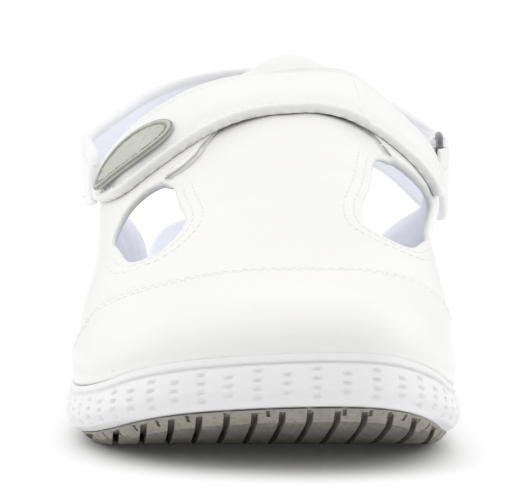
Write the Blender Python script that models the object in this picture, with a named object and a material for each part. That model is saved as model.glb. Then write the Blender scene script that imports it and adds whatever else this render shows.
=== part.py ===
"""Right-foot work clog: closed toe, two side windows, an instep strap and a heel strap.

Metres. The toe points to -Y, the inner side of the foot is +X and the floor is Z = 0.
Places along the shoe are given as a share of LENGTH from the tip of the toe to the heel.
"""

import math

import bmesh
import bpy
import numpy as np
from mathutils import Vector
from mathutils.geometry import delaunay_2d_cdt

# Driving sizes of the sole
LENGTH = 0.263
BALL_WIDTH = 0.0995
TOE_SPRING = 0.0137
BALL_RIM = 0.0145
OUTSOLE = 0.0031
GROOVE_DEPTH = 0.0017
GROOVE_WIDTH = 0.0016
GROOVE_PITCH = 0.0066
RIM_WALL = 0.0030
CUP_DEPTH = 0.0055
FOOTBED = 0.0045

# Driving sizes of the upper
WALL = 0.0020
RIDGE_HEIGHT = 0.0825
TONGUE_RISE = 0.0044

# Driving sizes of the straps
STRAP = 0.0028
STRAP_WIDTH = 0.1217 * LENGTH
HEEL_STRAP = 0.0030
HEEL_STRAP_WIDTH = 0.0215
BADGE = 0.0012
LOOP_WIRE = 0.0020

# Clearance left between neighbouring pieces, and between skins lying on each other
GAP = 0.0003
SEAT = 0.0005

STATIONS = 40


class Table:
    """Rows of sizes along the shoe, read on a smooth curve through them."""

    def __init__(self, columns, rows, flat=False):
        self.names = columns.split()
        self.rows = np.array(rows, float)
        self.x = self.rows[:, 0]
        self.flat = flat
        self.slopes = [self.slope(self.rows[:, k]) for k in range(len(self.names))]

    def slope(self, y):
        """Slopes at the rows: a natural spline, or one that never overshoots."""
        h = np.diff(self.x)
        d = np.diff(y) / h
        n = len(y)
        if self.flat:
            m = np.zeros(n)
            for k in range(1, n - 1):
                if d[k - 1] * d[k] > 0:
                    a = 2 * h[k] + h[k - 1]
                    b = h[k] + 2 * h[k - 1]
                    m[k] = (a + b) / (a / d[k - 1] + b / d[k])
            m[0], m[-1] = d[0], d[-1]
            return m
        grid = np.zeros((n, n))
        right = np.zeros(n)
        grid[0, :2], right[0] = (2, 1), 3 * d[0]
        grid[-1, -2:], right[-1] = (1, 2), 3 * d[-1]
        for k in range(1, n - 1):
            grid[k, k - 1 : k + 2] = h[k], 2 * (h[k - 1] + h[k]), h[k - 1]
            right[k] = 3 * (h[k] * d[k - 1] + h[k - 1] * d[k])
        return np.linalg.solve(grid, right)

    def read(self, name, at):
        column = self.names.index(name)
        y = self.rows[:, column]
        m = self.slopes[column]
        at = np.clip(at, self.x[0], self.x[-1])
        k = np.clip(np.searchsorted(self.x, at, side="right") - 1, 0, len(y) - 2)
        h = self.x[k + 1] - self.x[k]
        s = (at - self.x[k]) / h
        near = (1 + 2 * s) * (1 - s) ** 2 * y[k] + s * (1 - s) ** 2 * h * m[k]
        far = s * s * (3 - 2 * s) * y[k + 1] + s * s * (s - 1) * h * m[k + 1]
        return near + far


def turn(share):
    """The angle along the outline, 0 at the toe and 1 at the heel, of a share of LENGTH."""
    return np.arccos(1 - 2 * np.asarray(share, float)) / math.pi


# Outline of the sole from above: outer and inner edge as shares of BALL_WIDTH
OUTLINE = (
    (0.000, 0.165, 0.165),
    (0.030, -0.185, 0.360),
    (0.114, -0.408, 0.462),
    (0.228, -0.500, 0.488),
    (0.304, -0.511, 0.478),
    (0.380, -0.503, 0.456),
    (0.475, -0.473, 0.422),
    (0.570, -0.436, 0.387),
    (0.665, -0.401, 0.357),
    (0.760, -0.373, 0.336),
    (0.855, -0.350, 0.316),
    (0.935, -0.292, 0.258),
    (0.985, -0.165, 0.130),
    (1.000, -0.018, -0.018),
)


def closed_outline():
    """The outline as one closed curve: -1 to 0 is the outer edge, 0 to 1 the inner."""
    rows = [(-turn(share), outer) for share, outer, inner in OUTLINE[::-1]]
    rows += [(turn(share), inner) for share, outer, inner in OUTLINE[1:]]
    before = [(t - 2, x) for t, x in rows[-4:-1]]
    after = [(t + 2, x) for t, x in rows[1:4]]
    return Table("turn edge", before + rows + after)


EDGE = closed_outline()

# Side of the sole: floor line as a share of TOE_SPRING, rim height as a share of BALL_RIM
SOLE = Table(
    "along lift rim bed",
    (
        (0.000, 1.000, 2.050, 0),
        (0.030, 0.820, 1.860, 0),
        (0.076, 0.540, 1.570, 0),
        (0.120, 0.310, 1.300, 0),
        (0.171, 0.125, 1.120, 0),
        (0.228, 0.015, 1.015, 0),
        (0.266, 0.000, 1.000, 0),
        (0.456, 0.000, 1.150, 0),
        (0.570, 0.240, 1.450, 0),
        (0.665, 0.130, 1.740, 0),
        (0.703, 0.000, 1.830, 0.05),
        (0.855, 0.000, 2.080, 0.75),
        (0.951, 0.000, 2.170, 1.0),
        (1.000, 0.200, 2.200, 1.0),
    ),
    flat=True,
)

# Ridge line of the upper: place across as a share of BALL_WIDTH, height of RIDGE_HEIGHT
RIDGE = Table(
    "along across height",
    (
        (0.095, 0.150, 0.525),
        (0.140, 0.135, 0.540),
        (0.190, 0.120, 0.562),
        (0.247, 0.105, 0.628),
        (0.304, 0.095, 0.720),
        (0.361, 0.085, 0.822),
        (0.437, 0.075, 0.940),
        (0.498, 0.068, 1.000),
        (0.559, 0.063, 1.036),
        (0.620, 0.058, 1.060),
        (0.800, 0.050, 1.100),
    ),
)

# Cross-sections of the upper: fullness and swell of the outer and inner side
SECTION = Table(
    "along outer inner swell_out swell_in lean low_swell",
    (
        (0.000, 2.9, 2.9, 0.0000, 0.0000, 1.40, 0.0004),
        (0.120, 2.8, 3.0, 0.0006, 0.0010, 1.40, 0.0012),
        (0.228, 2.4, 2.8, 0.0018, 0.0026, 1.40, 0.0022),
        (0.304, 2.15, 2.5, 0.0030, 0.0036, 1.40, 0.0024),
        (0.380, 2.05, 2.3, 0.0032, 0.0052, 1.40, 0.0022),
        (0.456, 2.5, 2.6, 0.0032, 0.0070, 1.35, 0.0014),
        (0.532, 3.4, 3.6, 0.0046, 0.0105, 1.15, 0.0006),
        (0.608, 4.0, 4.2, 0.0070, 0.0128, 0.95, 0.0000),
        (0.760, 4.0, 4.2, 0.0072, 0.0125, 0.85, 0.0000),
    ),
)


def outline(q, inset):
    """Plan points of the outline drawn in by an inset; q runs -1 to 1 round the shoe."""
    q = np.asarray(q, float)

    def plan(q):
        wrapped = (q + 1) % 2 - 1
        along = (1 - np.cos(math.pi * q)) / 2
        return np.stack([BALL_WIDTH * EDGE.read("edge", wrapped), LENGTH * along], -1)

    step = 1e-3
    along = plan(q + step) - plan(q - step)
    along /= np.linalg.norm(along, axis=-1, keepdims=True)
    inward = np.stack([-along[..., 1], along[..., 0]], -1)
    return plan(q) + inward * np.asarray(inset)[..., None]


def floor_line(y):
    return TOE_SPRING * SOLE.read("lift", y / LENGTH)


def rim_line(y):
    return BALL_RIM * SOLE.read("rim", y / LENGTH)


def upper_point(turns, r):
    """A point of the upper's outer face: turns along, r from -1 outer edge to 1 inner edge."""
    turns = np.asarray(turns, float)
    side = np.where(turns < 0, -np.sign(r), np.sign(r))
    side = np.where(side == 0, 1.0, side)
    turns = np.abs(turns)
    edge = outline(turns * side, np.full(turns.shape, RIM_WALL + GAP + 0.0001))
    along = (1 - np.cos(math.pi * turns)) / 2
    ridge_along = np.hypot(RIDGE.x[0], along)
    ridge = np.stack([BALL_WIDTH * RIDGE.read("across", ridge_along), LENGTH * ridge_along], -1)
    bottom = rim_line(edge[..., 1]) - CUP_DEPTH + 0.001
    top = RIDGE_HEIGHT * RIDGE.read("height", ridge_along)
    full = np.where(side < 0, SECTION.read("outer", along), SECTION.read("inner", along))
    swell = np.where(side < 0, SECTION.read("swell_out", along), SECTION.read("swell_in", along))
    angle = (1 - np.abs(r)) * math.pi / 2
    cosine, sine = np.maximum(np.cos(angle), 0), np.maximum(np.sin(angle), 0)
    radius = (cosine**full + sine**full) ** (-1 / full)
    out, up = cosine * radius, sine * radius
    span = edge - ridge
    direction = span / np.linalg.norm(span, axis=-1, keepdims=True)
    height = bottom + (top - bottom) * up
    free = bottom + CUP_DEPTH
    above = np.clip((height - free) / (top - free), 0, 1)
    foot = np.clip(above / 0.35, 0, 1) ** 2
    bulge = swell * foot * np.sin(math.pi * above ** SECTION.read("lean", along)) ** 2
    over = np.clip((above - 0.085) / 0.915, 0, 1)
    low = SECTION.read("low_swell", along) * np.where(side < 0, 1.0, 0.6)
    bulge = bulge + low * np.sin(math.pi * over**0.45) ** 2
    plan = ridge + span * out[..., None] + direction * bulge[..., None]
    lift = np.clip((plan[..., 1] / LENGTH - 0.545) / 0.055, 0, 1)
    bell = np.exp(-(((plan[..., 0] - ridge[..., 0]) / (0.15 * BALL_WIDTH)) ** 2))
    height = height + TONGUE_RISE * lift * lift * (3 - 2 * lift) * bell
    return np.concatenate([plan, height[..., None]], -1)


def upper_normal(turns, r):
    """Outward normals of the upper's outer face."""
    step = 2e-3
    along = upper_point(turns + step, r) - upper_point(turns - step, r)
    r = np.asarray(r, float)
    across = upper_point(turns, np.clip(r + step, -1, 1)) - upper_point(turns, np.clip(r - step, -1, 1))
    normal = np.cross(across, along)
    return normal / np.linalg.norm(normal, axis=-1, keepdims=True)


def plan_of(turns, r):
    """Where a place of the upper lies in a flat pattern spread out from the ridge line."""
    side = np.where(np.asarray(r) < 0, -1.0, 1.0)
    edge = outline(np.abs(turns) * side, np.full(np.shape(turns), RIM_WALL))
    ridge_along = np.hypot(RIDGE.x[0], (1 - np.cos(math.pi * np.asarray(turns))) / 2)
    ridge = np.stack([BALL_WIDTH * RIDGE.read("across", ridge_along), LENGTH * ridge_along], -1)
    return ridge + (edge - ridge) * PATTERN_STRETCH * np.abs(np.asarray(r))[..., None]


def inside(points, loop):
    """Which points lie inside a closed plan loop."""
    x, y = points[:, None, 0], points[:, None, 1]
    a = loop[None]
    b = np.roll(loop, -1, 0)[None]
    spans = (a[..., 1] > y) != (b[..., 1] > y)
    rise = np.where(spans, b[..., 1] - a[..., 1], 1.0)
    cross = a[..., 0] + (y - a[..., 1]) * (b[..., 0] - a[..., 0]) / rise
    return (spans & (x < cross)).sum(1) % 2 == 1


def clear_of(points, loop, margin):
    """Which points stay further than a margin from a closed plan loop."""
    a = loop[None]
    span = np.roll(loop, -1, 0)[None] - a
    to = points[:, None] - a
    share = np.clip((to * span).sum(-1) / np.maximum((span * span).sum(-1), 1e-12), 0, 1)
    return (np.linalg.norm(to - span * share[..., None], axis=-1) > margin).all(1)


def material(name, color, roughness, metallic=0.0, coat=0.0):
    made = bpy.data.materials.new(name)
    made.use_nodes = True
    shader = made.node_tree.nodes["Principled BSDF"]
    shader.inputs["Base Color"].default_value = (*color, 1)
    shader.inputs["Roughness"].default_value = roughness
    shader.inputs["Metallic"].default_value = metallic
    shader.inputs["Coat Weight"].default_value = coat
    made.diffuse_color = (*color, 1)
    return made


def solid(name, points, faces, made_of, into, smooth=True):
    """One closed body with its faces outwards. The shoe's middle is set at Y = 0."""
    points = np.array(points, float)
    points[:, 1] -= LENGTH / 2
    mesh = bpy.data.meshes.new(name)
    mesh.from_pydata([tuple(p) for p in points], [], faces)
    shape = bmesh.new()
    shape.from_mesh(mesh)
    bmesh.ops.remove_doubles(shape, verts=shape.verts, dist=1e-6)
    bmesh.ops.recalc_face_normals(shape, faces=shape.faces)
    if shape.calc_volume(signed=True) < 0:
        bmesh.ops.reverse_faces(shape, faces=shape.faces)
    shape.to_mesh(mesh)
    shape.free()
    for polygon in mesh.polygons:
        polygon.use_smooth = smooth
    if smooth:
        mesh.set_sharp_from_angle(angle=math.radians(38))
    thing = bpy.data.objects.new(name, mesh)
    if made_of:
        mesh.materials.append(made_of)
    into.objects.link(thing)
    return thing


def cut(thing, cutter):
    modifier = thing.modifiers.new("cut_" + cutter.name, "BOOLEAN")
    modifier.operation = "DIFFERENCE"
    modifier.solver = "EXACT"
    modifier.object = cutter
    cutter.hide_render = True
    cutter.display_type = "WIRE"


def stacked(name, loops, made_of, into):
    """A body from closed loops of points, bottom first, closed by strips across both ends."""
    count = len(loops[0])
    points = np.concatenate(loops)
    faces = []
    for k in range(len(loops) - 1):
        for i in range(count):
            j = (i + 1) % count
            faces.append((k * count + i, k * count + j, (k + 1) * count + j, (k + 1) * count + i))
    half = count // 2
    for start in (0, (len(loops) - 1) * count):
        for i in range(half):
            a, b = start + i, start + i + 1
            c, d = start + (count - i - 1) % count, start + (count - i) % count
            faces.append((a, b, c) if i in (0,) else (a, b, c, d))
    faces = [tuple(dict.fromkeys(face)) for face in faces]
    return solid(name, points, [face for face in faces if len(face) > 2], made_of, into)


def level(inset, height):
    """A loop round the shoe: the outline drawn in, at a height read along the shoe."""
    q = np.linspace(-1, 1, 2 * STATIONS, endpoint=False)
    plan = outline(q, np.full(q.shape, inset) if np.isscalar(inset) else inset(q))
    return np.concatenate([plan, height(plan[:, 1])[:, None]], 1)


# Net of places on the upper: turns from, turns to, step along, places across from the ridge out
NET = (
    (0.000, 0.415, 0.030, (0, 0.12, 0.24, 0.36, 0.47, 0.57, 0.67, 0.77, 0.86, 0.90, 0.94)),
    (0.420, 0.720, 0.017, (0, 0.11, 0.22, 0.33, 0.42, 0.48, 0.53, 0.58, 0.63, 0.68, 0.74, 0.82, 0.91)),
)
NET_MARGIN = 0.0014
PATTERN_STRETCH = 1.5


def net_places():
    """Places of the net over the whole upper, one column where both sides meet at the toe."""
    places = []
    for start, end, along, across in NET:
        for t in np.arange(start, end, along):
            places += [(t, r) for r in across]
            places += [(t, -r) for r in across if r > 0 and t > 0]
    return np.array(places)


class Pattern:
    """The upper's outer face in triangles, with the edge line of every piece on it among them."""

    def __init__(self, loops):
        self.loops = {name: np.array(loop, float) for name, loop in loops.items()}
        self.plans = {name: plan_of(loop[:, 0], loop[:, 1]) for name, loop in self.loops.items()}
        whole = self.plans["upper"]
        grid = net_places()
        plan = plan_of(grid[:, 0], grid[:, 1])
        keep = inside(plan, whole)
        for loop in self.plans.values():
            keep &= clear_of(plan, loop, NET_MARGIN)
        places = np.concatenate([*self.loops.values(), grid[keep]])
        flat = np.concatenate([*self.plans.values(), plan[keep]])
        edges = []
        start = 0
        for loop in self.loops.values():
            n = len(loop)
            edges += [(start + i, start + (i + 1) % n) for i in range(n)]
            start += n
        found = delaunay_2d_cdt([Vector(p) for p in flat], edges, [], 0, 1e-7)
        source = [group[0] for group in found[3]]
        middles = np.array([np.mean([found[0][v] for v in face], axis=0) for face in found[2]])
        good = inside(middles, whole)
        self.faces = np.array([[source[v] for v in face] for face in found[2]])[good]
        self.middles = middles[good]
        self.points = upper_point(places[:, 0], places[:, 1])
        self.normals = skin_normals(self.points, self.faces)

    def skin(self, name, holes, lifts, made_of, into):
        """The faces inside one edge line and outside the holes, thickened between two lifts."""
        good = inside(self.middles, self.plans[name])
        for hole in holes:
            good &= ~inside(self.middles, self.plans[hole])
        used, faces = np.unique(self.faces[good], return_inverse=True)
        faces = faces.reshape(-1, 3).tolist()
        base, normal = self.points[used], self.normals[used]
        count = len(used)
        points = np.concatenate([base + normal * lifts[1], base + normal * lifts[0]])
        sides = {(a, b) for face in faces for a, b in zip(face, face[1:] + face[:1])}
        walls = [(b, a, a + count, b + count) for a, b in sorted(sides) if (b, a) not in sides]
        below = [tuple(v + count for v in reversed(face)) for face in faces]
        above = [tuple(face) for face in faces]
        return solid(name, points, above + below + walls, made_of, into)


def skin_normals(points, faces):
    """Normals averaged over the triangles round each point, turned away from the foot."""
    corners = points[faces]
    area = np.cross(corners[:, 1] - corners[:, 0], corners[:, 2] - corners[:, 0])
    normal = np.zeros_like(points)
    for k in range(3):
        np.add.at(normal, faces[:, k], area)
    if normal[:, 2].sum() < 0:
        normal = -normal
    return normal / np.maximum(np.linalg.norm(normal, axis=1, keepdims=True), 1e-12)


def rounded(corners, steps):
    """A closed loop through corner rows, drawn as a smooth curve."""
    rows = np.array(corners, float)
    n = len(rows)
    wrapped = np.concatenate([rows[-3:], rows, rows[:3]])
    places = np.arange(-3, n + 3, dtype=float)
    made = Table("place a b", np.column_stack([places, wrapped]))
    at = np.linspace(0, n, steps, endpoint=False)
    return np.column_stack([made.read("a", at), made.read("b", at)])


def collection(name, hidden=False):
    made = bpy.data.collections.new(name)
    bpy.context.scene.collection.children.link(made)
    made.hide_render = hidden
    return made


for old in list(bpy.data.objects):
    bpy.data.objects.remove(old)

CLOG = collection("work_clog")
CUTTERS = collection("cutters", hidden=True)

white_leather = material("white_leather", (0.86, 0.86, 0.85), 0.42, coat=0.15)
white_foam = material("white_foam", (0.84, 0.84, 0.84), 0.6)
grey_rubber = material("grey_rubber", (0.30, 0.30, 0.27), 0.75)
lining = material("lining", (0.72, 0.74, 0.82), 0.9)
strap_leather = material("strap_leather", (0.87, 0.87, 0.86), 0.42, coat=0.15)
tab_leather = material("tab_leather", (0.85, 0.85, 0.84), 0.45)
padding = material("padding", (0.84, 0.85, 0.88), 0.6)
badge_rubber = material("badge_rubber", (0.50, 0.51, 0.46), 0.6)
dark_metal = material("dark_metal", (0.10, 0.10, 0.11), 0.35, metallic=0.9)

# Outsole: a thin rubber sole with lengthwise grooves under the toe and heel
outsole_levels = (
    (0.0052, 0.0000),
    (0.0040, 0.0007),
    (0.0034, OUTSOLE),
)
outsole = stacked(
    "outsole",
    [level(inset, lambda y, up=up: floor_line(y) + up) for inset, up in outsole_levels],
    grey_rubber,
    CLOG,
)


def groove(name, x, start, end, slant):
    """A cutter that follows the floor line from one place along the shoe to another."""
    places = np.linspace(start, end, 8)
    loops = []
    for y in places:
        middle = x + slant * (y - start)
        low, high = floor_line(y) - 0.004, floor_line(y) + GROOVE_DEPTH
        left, right = middle - GROOVE_WIDTH / 2, middle + GROOVE_WIDTH / 2
        loops.append([(left, y, low), (right, y, low), (right, y, high), (left, y, high)])
    points = [p for loop in loops for p in loop]
    faces = [(3, 2, 1, 0), tuple(len(points) - 4 + k for k in range(4))]
    for k in range(len(loops) - 1):
        for i in range(4):
            j = (i + 1) % 4
            faces.append((4 * k + i, 4 * k + j, 4 * k + 4 + j, 4 * k + 4 + i))
    return solid(name, points, faces, None, CUTTERS, smooth=False)


groove_rows = (
    ("toe_groove", -0.004, 0.235 * LENGTH, -6, 7, -0.07),
    ("heel_groove", 0.80 * LENGTH, LENGTH + 0.004, -4, 4, 0.0),
)
for label, start, end, first, last, slant in groove_rows:
    for k in range(first, last + 1):
        cut(outsole, groove(f"{label}_{k - first}", GROOVE_PITCH * (k - 0.3), start, end, slant))

# Midsole: a foam cup with a lip, a swell and a bottom bead round its side
midsole_levels = (
    (0.0034, 0.00),
    (0.0022, 0.03),
    (0.0016, 0.12),
    (0.0010, 0.16),
    (0.0000, 0.38),
    (0.0003, 0.60),
    (0.0014, 0.80),
    (0.0019, 0.84),
    (0.0015, 0.88),
    (0.0021, 1.00),
)


def midsole_height(y, share):
    low = floor_line(y) + OUTSOLE + GAP
    return low + (rim_line(y) - low) * share


loops = [level(inset, lambda y, s=share: midsole_height(y, s)) for inset, share in midsole_levels]
loops.append(level(RIM_WALL, rim_line))
loops.append(level(RIM_WALL, lambda y: rim_line(y) - CUP_DEPTH))
midsole = stacked("midsole", loops, white_foam, CLOG)


def bed_inset(q):
    """The footbed stays inside the upper's wall, and widens to the rim behind it."""
    along = (1 - np.cos(math.pi * q)) / 2
    wide = np.clip((along - 0.745) / 0.05, 0, 1)
    wide = wide * wide * (3 - 2 * wide)
    inner = RIM_WALL + 2 * GAP + WALL + 0.0015
    return inner + (RIM_WALL + GAP - inner) * wide


def bed_top(y, rise):
    """Top of the footbed at the middle, or at the rim of its heel cup."""
    cup = SOLE.read("bed", y / LENGTH)
    return rim_line(y) - CUP_DEPTH + GAP + FOOTBED + 0.0065 * cup * rise


# Insole: the footbed, with a cup round the heel
bed_levels = (
    (0.0000, lambda y: rim_line(y) - CUP_DEPTH + GAP),
    (0.0000, lambda y: bed_top(y, 1.0) - 0.0012),
    (0.0008, lambda y: bed_top(y, 1.0)),
    (0.0030, lambda y: bed_top(y, 0.8)),
    (0.0080, lambda y: bed_top(y, 0.25)),
    (0.0130, lambda y: bed_top(y, 0.0)),
)
insole = stacked(
    "insole",
    [level(lambda q, more=more: bed_inset(q) + more, height) for more, height in bed_levels],
    lining,
    CLOG,
)

# Upper: one hollow skin with a window on each side of the bar over the instep
COLLAR = Table(
    "r along",
    (
        (-1.00, 0.742),
        (-0.90, 0.736),
        (-0.82, 0.722),
        (-0.74, 0.700),
        (-0.66, 0.672),
        (-0.58, 0.624),
        (-0.50, 0.580),
        (-0.41, 0.558),
        (-0.30, 0.554),
        (-0.16, 0.574),
        (0.00, 0.600),
        (0.16, 0.594),
        (0.30, 0.592),
        (0.41, 0.608),
        (0.50, 0.630),
        (0.58, 0.654),
        (0.66, 0.680),
        (0.74, 0.702),
        (0.82, 0.722),
        (0.90, 0.736),
        (1.00, 0.742),
    ),
)
collar_r = np.linspace(-1, 1, 61)
collar = np.column_stack([turn(COLLAR.read("along", collar_r)), collar_r])
feather_end = turn(COLLAR.read("along", 1.0))
feather = np.arange(0, feather_end - 0.3 / STATIONS, 1 / STATIONS)
feather = np.append(feather, feather_end)
border = [(t, -1.0) for t in feather[1:-1]]
border += [tuple(row) for row in collar]
border += [(t, 1.0) for t in feather[::-1][1:]]


def outline_of(rows, steps):
    """A closed loop on the upper through rows of (share along, r)."""
    loop = rounded(rows, steps)
    return np.column_stack([turn(loop[:, 0]), loop[:, 1]])


OUTER_WINDOW = (
    (0.379, -0.380),
    (0.336, -0.355),
    (0.294, -0.337),
    (0.264, -0.385),
    (0.256, -0.430),
    (0.266, -0.485),
    (0.300, -0.522),
    (0.340, -0.555),
    (0.374, -0.583),
    (0.396, -0.552),
    (0.402, -0.505),
    (0.398, -0.440),
)
INNER_WINDOW = (
    (0.400, 0.362),
    (0.350, 0.330),
    (0.305, 0.280),
    (0.272, 0.272),
    (0.258, 0.335),
    (0.260, 0.410),
    (0.280, 0.475),
    (0.325, 0.535),
    (0.385, 0.610),
    (0.452, 0.652),
    (0.484, 0.628),
    (0.466, 0.545),
    (0.446, 0.450),
    (0.430, 0.400),
)

# Instep strap: lies over the bar and both wings, its free end on the outer side
strap_half = STRAP_WIDTH / LENGTH / 2
STRAP_OUTER_END = -0.640
STRAP_INNER_END = 0.632
STRAP_ROWS = Table(
    "r middle half",
    (
        (-0.640, 0.497, 0.74),
        (-0.540, 0.480, 0.86),
        (-0.440, 0.471, 0.86),
        (-0.300, 0.475, 0.84),
        (-0.150, 0.488, 0.91),
        (0.000, 0.497, 0.98),
        (0.200, 0.506, 0.97),
        (0.360, 0.518, 0.96),
        (0.500, 0.530, 0.96),
        (0.640, 0.544, 0.96),
    ),
)


def strap_edge(r, side):
    """Front (-1) or rear (+1) edge of the strap; both ends are rounded off."""
    outer = np.clip((STRAP_OUTER_END + 0.15 - r) / 0.15, 0, 1)
    inner = np.clip((r - STRAP_INNER_END + 0.03) / 0.03, 0, 1)
    ends = np.sqrt(np.maximum(1 - outer**2.4, 0)) * (1 - 0.35 * inner**3)
    half = strap_half * STRAP_ROWS.read("half", r) * np.maximum(ends, 0.04)
    return turn(STRAP_ROWS.read("middle", r) + 0.012 * outer**2 + side * half)


sweep = np.sin(np.linspace(-math.pi / 2, math.pi / 2, 44))
sweep = 0.6 * np.linspace(-1, 1, 44) + 0.4 * sweep
strap_r = STRAP_OUTER_END + (STRAP_INNER_END - STRAP_OUTER_END) * (sweep + 1) / 2
strap_border = [(strap_edge(r, -1), r) for r in strap_r]
strap_border += [(strap_edge(r, 1), r) for r in strap_r[::-1]]

# Badge: a plain oval rubber patch at the strap's free end
BADGE_MIDDLE = (0.462, -0.476)
BADGE_LONG = (0.014, -0.122)
BADGE_WIDE = (0.0255, 0.006)
badge_border = []
for k in range(32):
    around = 2 * math.pi * k / 32
    share = BADGE_MIDDLE[0] + BADGE_LONG[0] * math.cos(around) + BADGE_WIDE[0] * math.sin(around)
    r = BADGE_MIDDLE[1] + BADGE_LONG[1] * math.cos(around) + BADGE_WIDE[1] * math.sin(around)
    badge_border.append((turn(share), r))

pattern = Pattern(
    {
        "upper": border,
        "outer_window": outline_of(OUTER_WINDOW, 42),
        "inner_window": outline_of(INNER_WINDOW, 50),
        "instep_strap": strap_border,
        "badge": badge_border,
    }
)
upper = pattern.skin("upper", ["outer_window", "inner_window"], (-WALL, 0.0), white_leather, CLOG)
instep_strap = pattern.skin("instep_strap", [], (SEAT, SEAT + STRAP), strap_leather, CLOG)
badge_low = 2 * SEAT + STRAP
badge = pattern.skin("badge", [], (badge_low, badge_low + BADGE), badge_rubber, CLOG)


def band(name, rows, steps, made_of):
    """A strap swept along plan rows of (x, y, lower edge, upper edge, thickness)."""
    count = len(rows)
    run = np.array(rows, float)
    chord = np.concatenate([[0], np.cumsum(np.hypot(*np.diff(run[:, :2], axis=0).T))])
    path = Table("run x y low high thick", np.column_stack([chord, run]))
    at = np.unique(np.concatenate([np.linspace(chord[k], chord[k + 1], steps) for k in range(count - 1)]))
    x, y = path.read("x", at), path.read("y", at)
    dx, dy = np.gradient(x, at), np.gradient(y, at)
    length = np.hypot(dx, dy)
    nx, ny = -dy / length, dx / length
    low, high, half = path.read("low", at), path.read("high", at), path.read("thick", at) / 2
    section = (
        (-1.00, low + half),
        (-0.45, low),
        (0.45, low),
        (1.00, low + half),
        (1.00, high - half),
        (0.45, high),
        (-0.45, high),
        (-1.00, high - half),
    )
    points = [np.stack([x + nx * half * side, y + ny * half * side, z], -1) for side, z in section]
    points = np.stack(points, 1)
    n = len(at)
    faces = [tuple(range(8)), tuple(8 * n - 1 - k for k in range(8))]
    for k in range(n - 1):
        for i in range(8):
            j = (i + 1) % 8
            faces.append((8 * k + i, 8 * k + j, 8 * k + 8 + j, 8 * k + 8 + i))
    return solid(name, points.reshape(-1, 3), faces, made_of, CLOG)


def wing_x(share, z, side):
    """How far out the upper's face stands at a share of LENGTH and a height."""
    r = np.linspace(0.3, 0.95, 131) * side
    points = upper_point(np.full(r.shape, turn(share)), r)
    return points[np.argmin(np.abs(points[:, 2] - z)), 0]


# Strap loop on the inner side: its front bar is held by a tab, its rear bar by the heel strap
loop_z = 0.774 * RIDGE_HEIGHT
loop_high = 0.0091
loop_long = 0.0085
tab_thick = 0.0013
fold = LOOP_WIRE / 2 + GAP + tab_thick / 2 + 0.0002
loop_front = 0.634 * LENGTH
TAB_SPOTS = [(share, loop_z + dz) for share in (0.600, 0.612, 0.624) for dz in (-0.0025, 0.0, 0.0025)]
wing_out = max(wing_x(share, z, 1) for share, z in TAB_SPOTS)
loop_x = wing_out + GAP + tab_thick / 2 + fold
tab_half = 0.30 * loop_high
tab_rear = loop_front + fold
tab_front = loop_front - 0.0092
tab_low, tab_top = loop_z - tab_half, loop_z + tab_half
LOOP_TAB = (
    (loop_x - fold, tab_front, tab_low, tab_top, tab_thick),
    (loop_x - fold, loop_front - 0.0030, tab_low, tab_top, tab_thick),
    (loop_x - fold, loop_front, tab_low, tab_top, tab_thick),
    (loop_x - 0.707 * fold, loop_front + 0.707 * fold, tab_low, tab_top, tab_thick),
    (loop_x, tab_rear, tab_low, tab_top, tab_thick),
    (loop_x + 0.707 * fold, loop_front + 0.707 * fold, tab_low, tab_top, tab_thick),
    (loop_x + fold, loop_front, tab_low, tab_top, tab_thick),
    (loop_x + 0.6 * fold, loop_front - 0.0034, tab_low, tab_top, tab_thick),
    (loop_x - fold + tab_thick + GAP, tab_front + 0.0012, tab_low, tab_top, tab_thick),
)
loop_tab = band("loop_tab", LOOP_TAB, 3, tab_leather)

# Loop: a rounded rectangle of wire standing in the plane of the shoe's side
loop_rear = loop_front + loop_long
middle_y = (loop_front + loop_rear) / 2
corner = 0.0022
wire = LOOP_WIRE / 2
ring_path = []
for k, (sy, sz) in enumerate(((1, 1), (-1, 1), (-1, -1), (1, -1))):
    for step in range(4):
        turned = math.pi / 2 * (k + step / 3)
        half_y = loop_long / 2 - corner
        half_z = loop_high / 2 + wire - corner
        ring_path.append(
            (
                middle_y + sy * half_y + corner * math.cos(turned),
                loop_z + sz * half_z + corner * math.sin(turned),
                math.cos(turned),
                math.sin(turned),
            )
        )
ring_points = []
for y, z, out_y, out_z in ring_path:
    for i in range(8):
        around = math.pi / 4 * i
        reach = wire * math.cos(around)
        ring_points.append((loop_x + wire * math.sin(around), y + out_y * reach, z + out_z * reach))
ring_faces = []
for k in range(len(ring_path)):
    for i in range(8):
        a, b = 8 * k, 8 * ((k + 1) % len(ring_path))
        j = (i + 1) % 8
        ring_faces.append((a + i, a + j, b + j, b + i))
strap_loop = solid("strap_loop", ring_points, ring_faces, dark_metal, CLOG)

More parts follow.
